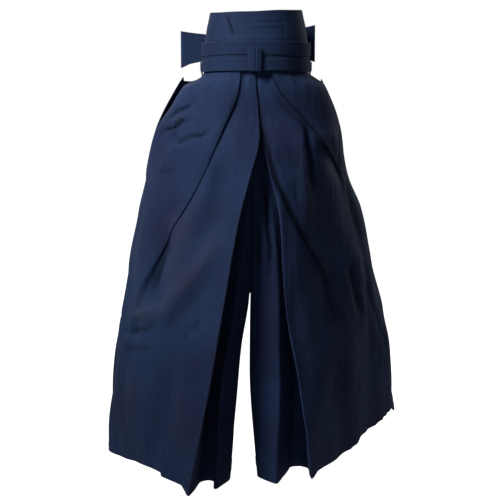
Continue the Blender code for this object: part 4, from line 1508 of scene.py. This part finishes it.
class NodeCanvas:
    """Adds and links nodes in one node tree."""

    def __init__(self, tree: bpy.types.NodeTree) -> None:
        """Keeps the tree and clears it."""
        self.tree = tree
        self.tree.nodes.clear()

    def add(self, kind: str, inputs: dict | None = None, **settings: object) -> bpy.types.Node:
        """Adds a node.

        Args:
            kind: The node's type name without its ShaderNode prefix, or a full type name.
            inputs: Socket values or sockets to link from, by socket name or number.
            settings: Attributes to set on the node.

        Returns:
            The node.
        """
        full = kind if kind.startswith("Node") else "ShaderNode" + kind
        node = self.tree.nodes.new(full)
        for key, value in settings.items():
            setattr(node, key, value)
        for key, value in (inputs or {}).items():
            if isinstance(value, bpy.types.NodeSocket):
                self.tree.links.new(value, node.inputs[key])
            else:
                node.inputs[key].default_value = value
        return node

    def math(self, operation: str, *values: object) -> bpy.types.NodeSocket:
        """Adds a Math node and returns its result."""
        node = self.add("Math", dict(enumerate(values)), operation=operation)
        return node.outputs[0]

    def mix(self, share: object, first: object, second: object) -> bpy.types.NodeSocket:
        """Mixes two colours and returns the result."""
        node = self.add("Mix", {0: share, 6: first, 7: second}, data_type="RGBA")
        return node.outputs[2]


class NodeGroup:
    """A shader node group with named inputs and outputs."""

    name = "group"
    inputs: tuple[tuple[str, str, object], ...] = ()
    outputs: tuple[tuple[str, str], ...] = ()

    def tree(self) -> bpy.types.NodeTree:
        """The group's tree, made once."""
        if self.name in bpy.data.node_groups:
            return bpy.data.node_groups[self.name]
        made = bpy.data.node_groups.new(self.name, "ShaderNodeTree")
        canvas = NodeCanvas(made)
        for label, kind, value in self.inputs:
            socket = made.interface.new_socket(label, in_out="INPUT", socket_type=kind)
            if value is not None:
                socket.default_value = value
        for label, kind in self.outputs:
            made.interface.new_socket(label, in_out="OUTPUT", socket_type=kind)
        source = canvas.add("NodeGroupInput")
        sink = canvas.add("NodeGroupOutput")
        results = self.fill(canvas, source.outputs)
        for label, value in results.items():
            made.links.new(value, sink.inputs[label])
        return made

    def fill(self, canvas: NodeCanvas, given: bpy.types.NodeInputs) -> dict:
        """Makes the group's nodes and returns its outputs by name."""
        raise NotImplementedError

    def place(self, canvas: NodeCanvas, inputs: dict) -> bpy.types.Node:
        """Places the group in a material."""
        node = canvas.add("Group")
        node.node_tree = self.tree()
        for key, value in inputs.items():
            if isinstance(value, bpy.types.NodeSocket):
                canvas.tree.links.new(value, node.inputs[key])
            else:
                node.inputs[key].default_value = value
        return node


class TwillWeave(NodeGroup):
    """Fine diagonal ribs of a twill, crossed by its yarns."""

    name = "twill_weave"
    inputs = (
        ("Cloth", "NodeSocketVector", None),
        ("Ribs", "NodeSocketFloat", 900.0),
        ("Lean", "NodeSocketFloat", 1.0),
    )
    outputs = (("Height", "NodeSocketFloat"), ("Rib", "NodeSocketFloat"))
    wobble_scale = 60.0
    yarn_height = 0.35

    def fill(self, canvas: NodeCanvas, given: bpy.types.NodeInputs) -> dict:
        """Makes ribs from a sine of the distances across and up the cloth."""
        split = canvas.add("SeparateXYZ", {0: given["Cloth"]})
        leaned = canvas.math("MULTIPLY", split.outputs[1], given["Lean"])
        slant = canvas.math("ADD", split.outputs[0], leaned)
        turns = canvas.math("MULTIPLY", slant, given["Ribs"])
        wobble = canvas.add("TexNoise", {"Vector": given["Cloth"], "Scale": self.wobble_scale, "Detail": 2.0})
        turns = canvas.math("ADD", turns, wobble.outputs[0])
        rib = canvas.math("SINE", canvas.math("MULTIPLY", turns, 2 * math.pi))
        rib = canvas.math("MULTIPLY_ADD", rib, 0.5, 0.5)
        yarns = canvas.math("MULTIPLY", split.outputs[1], given["Ribs"])
        yarn = canvas.math("SINE", canvas.math("MULTIPLY", yarns, 4 * math.pi))
        yarn = canvas.math("MULTIPLY_ADD", yarn, 0.5, 0.5)
        height = canvas.math("MULTIPLY_ADD", yarn, self.yarn_height, rib)
        return {"Height": height, "Rib": rib}


class DyeWearAndPaintedLight(NodeGroup):
    """Slight uneven dyeing, with edges paled by wear and a painted highlight, painted shade in crease troughs
    and a painted highlight on crease ridges.
    """

    name = "dye_wear_and_painted_light"
    inputs = (
        ("Place", "NodeSocketVector", None),
        ("Dark", "NodeSocketColor", (0.01, 0.01, 0.02, 1.0)),
        ("Body", "NodeSocketColor", (0.02, 0.03, 0.06, 1.0)),
        ("WearAndHighlight", "NodeSocketColor", (0.06, 0.07, 0.1, 1.0)),
        ("Edge", "NodeSocketFloat", 0.0),
        ("Cavity", "NodeSocketFloat", 0.0),
        ("Rib", "NodeSocketFloat", 0.5),
    )
    outputs = (("Color", "NodeSocketColor"), ("Dryness", "NodeSocketFloat"))
    # Colour of the painted shade in crease troughs
    painted_shade_colour = (0.0025, 0.0035, 0.0090, 1.0)
    cloud_weight, cloud_start = 1.8, -0.72
    streak_weight = 0.75
    rib_weight = 0.16
    # Weights of the painted shade in troughs and the painted highlight on ridges
    painted_shade_weight = -0.92
    painted_ridge_highlight_weight = 0.22
    cloud_dryness = 0.10
    streak_dryness = 0.08

    def fill(self, canvas: NodeCanvas, given: bpy.types.NodeInputs) -> dict:
        """Mixes four colours by cloudy noise, streaks, the creases' painted shade and highlight, and the
        pressed edges' wear and painted highlight.
        """
        cloud = canvas.add("TexNoise", {"Vector": given["Place"], "Scale": 6.0, "Detail": 6.0})
        stretch = canvas.add("Mapping", {"Vector": given["Place"], "Scale": (240.0, 240.0, 9.0)})
        streak = canvas.add("TexNoise", {"Vector": stretch.outputs[0], "Scale": 1.0, "Detail": 3.0})
        share = canvas.math("MULTIPLY_ADD", cloud.outputs[0], self.cloud_weight, self.cloud_start)
        share = canvas.math("MULTIPLY_ADD", streak.outputs[0], self.streak_weight, share)
        share = canvas.math("MULTIPLY_ADD", given["Rib"], self.rib_weight, share)
        clamped = canvas.add("Clamp", {0: share})
        colour = canvas.mix(clamped.outputs[0], given["Dark"], given["Body"])
        speckle = canvas.add("TexNoise", {"Vector": given["Place"], "Scale": 420.0, "Detail": 2.0})
        # Painted shade in crease troughs
        deep = canvas.add("Clamp", {0: canvas.math("MULTIPLY", given["Cavity"], self.painted_shade_weight)})
        colour = canvas.mix(deep.outputs[0], colour, self.painted_shade_colour)
        # Painted highlight on crease ridges, and pale edges from wear with a painted highlight
        painted_ridge_highlight = canvas.math("MULTIPLY", given["Cavity"], self.painted_ridge_highlight_weight)
        edge_wear_and_highlight = canvas.math("MULTIPLY", given["Edge"], speckle.outputs[0])
        wear_and_highlight = canvas.add("Clamp", {0: canvas.math("MAXIMUM", painted_ridge_highlight, edge_wear_and_highlight)})
        colour = canvas.mix(wear_and_highlight.outputs[0], colour, given["WearAndHighlight"])
        dryness = canvas.math("MULTIPLY_ADD", cloud.outputs[0], self.cloud_dryness, 0.0)
        dryness = canvas.math("MULTIPLY_ADD", streak.outputs[0], self.streak_dryness, dryness)
        return {"Color": colour, "Dryness": dryness}


class FineCreases(NodeGroup):
    """Small crumples and hanging lines, below what the mesh holds."""

    name = "fine_creases"
    inputs = (
        ("Place", "NodeSocketVector", None),
        ("Crumple", "NodeSocketFloat", 1.0),
        ("Hanging", "NodeSocketFloat", 1.0),
    )
    outputs = (("Height", "NodeSocketFloat"),)

    def fill(self, canvas: NodeCanvas, given: bpy.types.NodeInputs) -> dict:
        """Adds a ridged noise for crumples to a stretched one for hanging lines."""
        crumple = canvas.add("TexNoise", {"Vector": given["Place"], "Scale": 26.0, "Detail": 3.0})
        folded = canvas.math("ABSOLUTE", canvas.math("MULTIPLY_ADD", crumple.outputs[0], 2.0, -1.0))
        folded = canvas.math("POWER", folded, 0.6)
        stretch = canvas.add("Mapping", {"Vector": given["Place"], "Scale": (70.0, 70.0, 8.0)})
        line = canvas.add("TexNoise", {"Vector": stretch.outputs[0], "Scale": 1.0, "Detail": 3.0})
        first = canvas.math("MULTIPLY", folded, given["Crumple"])
        height = canvas.math("MULTIPLY_ADD", line.outputs[0], given["Hanging"], first)
        return {"Height": height}


class StitchRow(NodeGroup):
    """A row of small stitches at one distance from the edge of the cloth."""

    name = "stitch_row"
    inputs = (
        ("Cloth", "NodeSocketVector", None),
        ("Distance", "NodeSocketFloat", 0.02),
        ("Pitch", "NodeSocketFloat", 0.006),
        ("Thread", "NodeSocketFloat", 0.0004),
        ("Filled", "NodeSocketFloat", 0.5),
    )
    outputs = (("Mask", "NodeSocketFloat"),)

    def fill(self, canvas: NodeCanvas, given: bpy.types.NodeInputs) -> dict:
        """Masks short dashes along a line."""
        split = canvas.add("SeparateXYZ", {0: given["Cloth"]})
        away = canvas.math("ABSOLUTE", canvas.math("SUBTRACT", split.outputs[1], given["Distance"]))
        on_line = canvas.math("LESS_THAN", away, given["Thread"])
        step = canvas.math("FRACT", canvas.math("DIVIDE", split.outputs[0], given["Pitch"]))
        dash = canvas.math("LESS_THAN", step, given["Filled"])
        return {"Mask": canvas.math("MULTIPLY", on_line, dash)}


@dataclass(frozen=True)
class ClothFinish:
    """A woven finish.

    Attributes:
        name: Name of the material.
        dark: Colour where the dyeing is deepest.
        body: Colour of most of the cloth.
        wear_and_highlight: Colour of the pale edges, wear with a painted highlight, and of the painted
            highlight on crease ridges.
        sheen: Weight of the cloth's sheen.
        sheen_tint: Its colour.
        roughness: Middle roughness.
        ribs: Ribs to the metre.
        lean: Slant of the ribs, where 0 is upright.
        weave: Height of the weave.
        crumple: Height of small crumples.
        hanging: Height of hanging lines.
        stitch_at: Distance of the stitches from the hem, or 0 for none.
    """

    name: str
    dark: tuple[float, float, float, float]
    body: tuple[float, float, float, float]
    wear_and_highlight: tuple[float, float, float, float]
    sheen: float
    sheen_tint: tuple[float, float, float, float]
    roughness: float
    ribs: float
    lean: float
    weave: float
    crumple: float
    hanging: float
    stitch_at: float = 0.0

    def material(self) -> bpy.types.Material:
        """Makes the material."""
        made = bpy.data.materials.new(self.name)
        made.use_nodes = True
        canvas = NodeCanvas(made.node_tree)
        place = canvas.add("TexCoord").outputs["Object"]
        cloth = canvas.add("UVMap", uv_map="cloth").outputs[0]
        # pressed: edge wear with a painted highlight; cavity: painted shade in troughs and a painted
        # highlight on ridges
        pressed = canvas.add("Attribute", attribute_name="pressed").outputs["Fac"]
        cavity = canvas.add("Attribute", attribute_name="cavity").outputs["Fac"]
        weave = TwillWeave().place(canvas, {"Cloth": cloth, "Ribs": self.ribs, "Lean": self.lean})
        dye_and_painted_light = DyeWearAndPaintedLight().place(canvas, {
            "Place": place,
            "Dark": self.dark,
            "Body": self.body,
            "WearAndHighlight": self.wear_and_highlight,
            "Edge": pressed,
            "Cavity": cavity,
            "Rib": weave.outputs["Rib"],
        })
        small = FineCreases().place(canvas, {
            "Place": place,
            "Crumple": self.crumple,
            "Hanging": self.hanging,
        })
        height = canvas.math("MULTIPLY_ADD", weave.outputs["Height"], self.weave, small.outputs[0])
        if self.stitch_at:
            stitch = StitchRow().place(canvas, {"Cloth": cloth, "Distance": self.stitch_at})
            height = canvas.math("MULTIPLY_ADD", stitch.outputs["Mask"], -0.25, height)
        bump = canvas.add("Bump", {"Height": height, "Strength": 1.0, "Distance": MM})
        shader = canvas.add("BsdfPrincipled", {
            "Base Color": dye_and_painted_light.outputs["Color"],
            "Roughness": canvas.math("ADD", dye_and_painted_light.outputs["Dryness"], self.roughness),
            "Normal": bump.outputs[0],
            "Metallic": 0.0,
            "Specular IOR Level": 0.14,
            "Specular Tint": (0.55, 0.68, 1.0, 1.0),
            "Sheen Weight": self.sheen,
            "Sheen Roughness": 0.55,
            "Sheen Tint": self.sheen_tint,
        })
        output = canvas.add("OutputMaterial")
        made.node_tree.links.new(shader.outputs[0], output.inputs[0])
        return made


# The worn colours pale the edges as wear with a painted highlight, and give the painted highlight on crease
# ridges
PANEL_FINISH = ClothFinish(
    name="navy_twill",
    dark=(0.0145, 0.0150, 0.0470, 1.0),
    body=(0.0200, 0.0430, 0.1080, 1.0),
    wear_and_highlight=(0.0900, 0.0850, 0.1150, 1.0),
    sheen=0.05,
    sheen_tint=(0.55, 0.66, 1.0, 1.0),
    roughness=0.66,
    ribs=700.0,
    lean=1.0,
    weave=0.05,
    crumple=1.3,
    hanging=2.2,
    stitch_at=0.0210,
)

BAND_FINISH = ClothFinish(
    name="navy_band",
    dark=(0.0150, 0.0190, 0.0520, 1.0),
    body=(0.0190, 0.0370, 0.0920, 1.0),
    wear_and_highlight=(0.0400, 0.0500, 0.0950, 1.0),
    sheen=0.04,
    sheen_tint=(0.55, 0.66, 1.0, 1.0),
    roughness=0.68,
    ribs=700.0,
    lean=1.0,
    weave=0.05,
    crumple=0.25,
    hanging=0.15,
)

SASH_FINISH = ClothFinish(
    name="navy_sash",
    dark=(0.0150, 0.0200, 0.0540, 1.0),
    body=(0.0190, 0.0400, 0.0960, 1.0),
    wear_and_highlight=(0.0500, 0.0540, 0.0900, 1.0),
    sheen=0.05,
    sheen_tint=(0.50, 0.64, 1.0, 1.0),
    roughness=0.60,
    ribs=420.0,
    lean=0.0,
    weave=0.09,
    crumple=0.30,
    hanging=0.35,
)


# A dressed piece: the object, its node, its cut, how it is held and what it hangs from
Dressed = tuple[bpy.types.Object, str, Cut, str, list[str]]


@dataclass
class Trousers:
    """The four leg panels and the gusset, draped together.

    Attributes:
        drape: What moves all their layers.
    """

    drape: Drape

    def panels(self) -> list[LegPanel]:
        """The four panels, front right, front left, back right and back left."""
        return [
            LegPanel(
                "front_panel_right", Leg.RIGHT, Hang.FRONT_TIE, FRONT_RIGHT, Cut(0.69, 0.945, 0.51), 4.6
            ),
            LegPanel("front_panel_left", Leg.LEFT, Hang.FRONT_TIE, FRONT_LEFT, Cut(0.842, 0.93, 0.535)),
            LegPanel("back_panel_right", Leg.RIGHT, Hang.BACK_BOARD, BACK_RIGHT, Cut(0.73, 0.9, 0.49)),
            LegPanel("back_panel_left", Leg.LEFT, Hang.BACK_BOARD, BACK_LEFT, Cut(0.715, 0.88, 0.45)),
        ]

    def build(self) -> list[Dressed]:
        """Builds the panels and the gusset.

        Returns:
            For each piece: the object, its node, its cut, how it is held and what it hangs from.
        """
        panels = self.panels()
        for panel in panels:
            panel.shape()
            panel.hang_cloth(self.drape)
        for front, back in ((panels[0], panels[2]), (panels[1], panels[3])):
            back.follow(front)
        made = []
        for panel in panels:
            held_by = "koshi_board" if panel.hang is Hang.BACK_BOARD else "himo_inner_wrap"
            made.append((panel.build(), panel.name, panel.cut, "hung", [held_by]))
        gusset = Gusset((panels[0], panels[1]), (panels[2], panels[3]), Cut(0.15, 0.345, 0.0493))
        fronts = [panels[0].name, panels[1].name]
        made.append((gusset.build(), "crotch_gusset", gusset.cut, "hung", fronts))
        return made


class Waist:
    """The ties with their knot, and the sash with its bow."""

    def ties(self) -> list[Dressed]:
        """Builds the wound ties, the knot and the ties at the back."""
        wound = [
            WoundTie("himo_inner_wrap", -8.0, Ring(30.0, 116.0, 99.3, 89.2), Cut(0.038, 0.65), 1),
            WoundTie("himo_upper_wrap", 7.5, Ring(36.0, 118.2, 101.4, 91.3), Cut(0.0285, 0.66), 2),
            WoundTie("himo_lower_wrap", -26.0, Ring(-0.5, 118.2, 101.4, 91.3), Cut(0.0255, 0.66), 3),
        ]
        on_panels = ["front_panel_right", "front_panel_left"]
        made = [(tie.build(), tie.name, tie.cut, "stretched", on_panels) for tie in wound]
        knot = FrontKnot(
            "himo_knot", (-18.5, 13.5), (-28.0, 23.0), -103.4, 5.0, (-11.4, -0.4, 8.0), Cut(0.032, 0.11)
        )
        wraps = ["himo_upper_wrap", "himo_lower_wrap"]
        made.append((knot.build(), knot.name, knot.cut, "folded", wraps))
        for name, leg in (("himo_back_right", Leg.RIGHT), ("himo_back_left", Leg.LEFT)):
            tie = SideTie(name, leg, Cut(0.02, 0.14))
            made.append((tie.build(), name, tie.cut, "stretched", ["koshi_board", "himo_lower_wrap"]))
        return made

    def sash(self) -> list[Dressed]:
        """Builds the sash, its bow and the bow's knot."""
        rings = (
            Ring(12.0, 113.1, 95.6, 86.3),
            Ring(36.0, 110.6, 91.0, 85.4),
            Ring(66.0, 106.0, 86.0, 83.0),
            Ring(86.0, 101.5, 82.5, 80.0),
            Ring(99.0, 99.0, 81.0, 78.5),
        )
        wrap = SashWrap("obi_wrap", rings, math.tan(math.radians(1.8)), Cut(0.088, 0.6))
        made = [(wrap.build(), wrap.name, wrap.cut, "stretched", ["himo_inner_wrap"])]
        shape = BowShape()
        for name, end in (("obi_bow_right", -168.0), ("obi_bow_left", 132.0)):
            loop = BowLoop(name, end, shape, Cut(0.078, 0.3))
            made.append((loop.build(), name, loop.cut, "folded", ["himo_lower_wrap"]))
        knot = BowKnot("obi_bow_knot", shape, Cut(0.036, 0.2))
        made.append((knot.build(), knot.name, knot.cut, "folded", ["obi_bow_right", "obi_bow_left"]))
        return made


@dataclass
class Studio:
    """Pale floor, soft light and the camera at the photograph's angle.

    Attributes:
        floor_height: Height of the floor in metres.
        camera_back: Distance of the camera from the origin in metres.
        camera_side: x of the camera in metres.
        aim_drop: How far below the origin the camera's axis passes it, in metres.
        lens: Focal length in millimetres.
        floor_half: Half of the floor's side in metres.
        dim_colour: Colour of the light from all round.
        dim_strength: Its strength.
    """

    floor_height: float = -1.0
    camera_back: float = 3.0
    camera_side: float = -0.011
    aim_drop: float = 0.4245
    lens: float = SENSOR_WIDTH * FOCAL_PIXELS / PICTURE_PIXELS
    floor_half: float = 12.0
    dim_colour: tuple[float, float, float, float] = (0.95, 0.93, 1.0, 1.0)
    dim_strength: float = 0.05

    def camera(self) -> None:
        """Makes the camera."""
        data = bpy.data.cameras.new("camera")
        data.sensor_width = SENSOR_WIDTH
        data.lens = self.lens
        made = bpy.data.objects.new("camera", data)
        made.location = (self.camera_side, -self.camera_back, 0.0)
        made.rotation_euler = (math.pi / 2 - math.atan(self.aim_drop / self.camera_back), 0.0, 0.0)
        bpy.context.scene.collection.objects.link(made)
        bpy.context.scene.camera = made

    def lamp(
        self, name: str, place: tuple[float, float, float], size: float, watts: float,
        colour: tuple[float, float, float], target: tuple[float, float, float] = (0.0, 0.0, -0.35),
        spread: float = 180.0,
    ) -> None:
        """Makes one soft area light.

        Args:
            name: Name of the light.
            place: Where it stands, in metres.
            size: Side of its square, in metres.
            watts: Its power.
            colour: Its colour.
            target: What it faces.
            spread: Angle that its light spreads over, in degrees.
        """
        data = bpy.data.lights.new(name, "AREA")
        data.spread = math.radians(spread)
        data.shape = "SQUARE"
        data.size = size
        data.energy = watts
        data.color = colour
        made = bpy.data.objects.new(name, data)
        made.location = place
        way = Vector(target) - Vector(place)
        made.rotation_euler = way.to_track_quat("-Z", "Y").to_euler()
        bpy.context.scene.collection.objects.link(made)

    def lights(self) -> None:
        """Makes the key light at the front left, a weak fill and two soft lights behind."""
        self.lamp(
            "key", (-1.86, -1.45, 1.64), size=1.1, watts=6.7, colour=(1.0, 0.97, 0.97),
            target=(-0.12, 0.0, 0.02), spread=38.0,
        )
        self.lamp(
            "fill", (-0.5, -3.3, -0.4), size=1.2, watts=5.0, colour=(0.90, 0.93, 1.0),
            target=(0.0, 0.0, -0.45),
        )
        self.lamp("behind", (-1.2, 3.2, 1.6), size=1.8, watts=44.0, colour=(1.0, 0.98, 0.96))
        self.lamp("side", (2.6, 2.6, 1.0), size=1.6, watts=26.0, colour=(0.96, 0.98, 1.0))

    def world(self) -> None:
        """Makes a white surround that lights the cloth only a little."""
        made = bpy.data.worlds.new("surround")
        made.use_nodes = True
        canvas = NodeCanvas(made.node_tree)
        seen = canvas.add("LightPath").outputs["Is Camera Ray"]
        white = canvas.add("Background", {"Color": WHITE, "Strength": 1.0})
        dim = canvas.add("Background", {"Color": self.dim_colour, "Strength": self.dim_strength})
        both = canvas.add("MixShader", {0: seen, 1: dim.outputs[0], 2: white.outputs[0]})
        output = canvas.add("OutputWorld")
        made.node_tree.links.new(both.outputs[0], output.inputs[0])
        bpy.context.scene.world = made
        bpy.context.scene.view_settings.view_transform = "Standard"

    def floor(self) -> None:
        """Makes the plain pale floor."""
        half = self.floor_half
        corners = [(-half, -half), (half, -half), (half, half), (-half, half)]
        mesh = bpy.data.meshes.new("floor")
        mesh.from_pydata([(x, y, self.floor_height) for x, y in corners], [], [(0, 1, 2, 3)])
        made = bpy.data.objects.new("floor", mesh)
        bpy.context.scene.collection.objects.link(made)
        material = bpy.data.materials.new("pale_floor")
        material.use_nodes = True
        canvas = NodeCanvas(material.node_tree)
        grain = canvas.add("TexNoise", {"Scale": 3.0, "Detail": 2.0})
        colour = canvas.mix(grain.outputs[0], (0.56, 0.56, 0.56, 1.0), (0.60, 0.60, 0.60, 1.0))
        shader = canvas.add("BsdfPrincipled", {
            "Base Color": colour,
            "Roughness": 0.95,
            "Specular IOR Level": 0.1,
            "Emission Color": WHITE,
            "Emission Strength": 0.0,
        })
        seen = canvas.add("LightPath").outputs["Is Camera Ray"]
        glow = canvas.add("Emission", {"Color": WHITE, "Strength": 1.0})
        lifted = canvas.add("AddShader", {0: shader.outputs[0], 1: glow.outputs[0]})
        both = canvas.add("MixShader", {0: seen, 1: shader.outputs[0], 2: lifted.outputs[0]})
        output = canvas.add("OutputMaterial")
        material.node_tree.links.new(both.outputs[0], output.inputs[0])
        mesh.materials.append(material)


def dress(
    pieces: list[Dressed],
    material: bpy.types.Material,
) -> None:
    """Args:
        pieces: Each piece with its node, cut, hold and supports.
        material: The material.
    """
    for piece, node, cut, held, rests_on in pieces:
        piece.data.materials.append(material)
        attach(piece, BODY)
        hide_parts(node)
        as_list(rests_on)
        log.info("%s: %d faces, stands for %s", piece.name, len(piece.data.polygons), node)


def main() -> None:
    """Builds the garment and the studio."""
    logging.basicConfig(level=logging.INFO, format="%(message)s")
    studio = Studio()
    studio.camera()
    studio.lights()
    studio.world()
    studio.floor()

    panel_cloth = PANEL_FINISH.material()
    band_cloth = BAND_FINISH.material()
    sash_cloth = SASH_FINISH.material()

    drape = Drape(CREASES + tuple(Puckers().creases()))
    dress(Trousers(drape).build(), panel_cloth)
    waist = Waist()
    dress(waist.ties(), band_cloth)
    dress(waist.sash(), sash_cloth)

    board = BackBoard()
    covered = board.build()
    covered.data.materials.append(band_cloth)
    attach(covered, BODY)
    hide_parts(board.name)
    log.info("%s: %d faces", covered.name, len(covered.data.polygons))


if __name__ == "__main__":
    main()
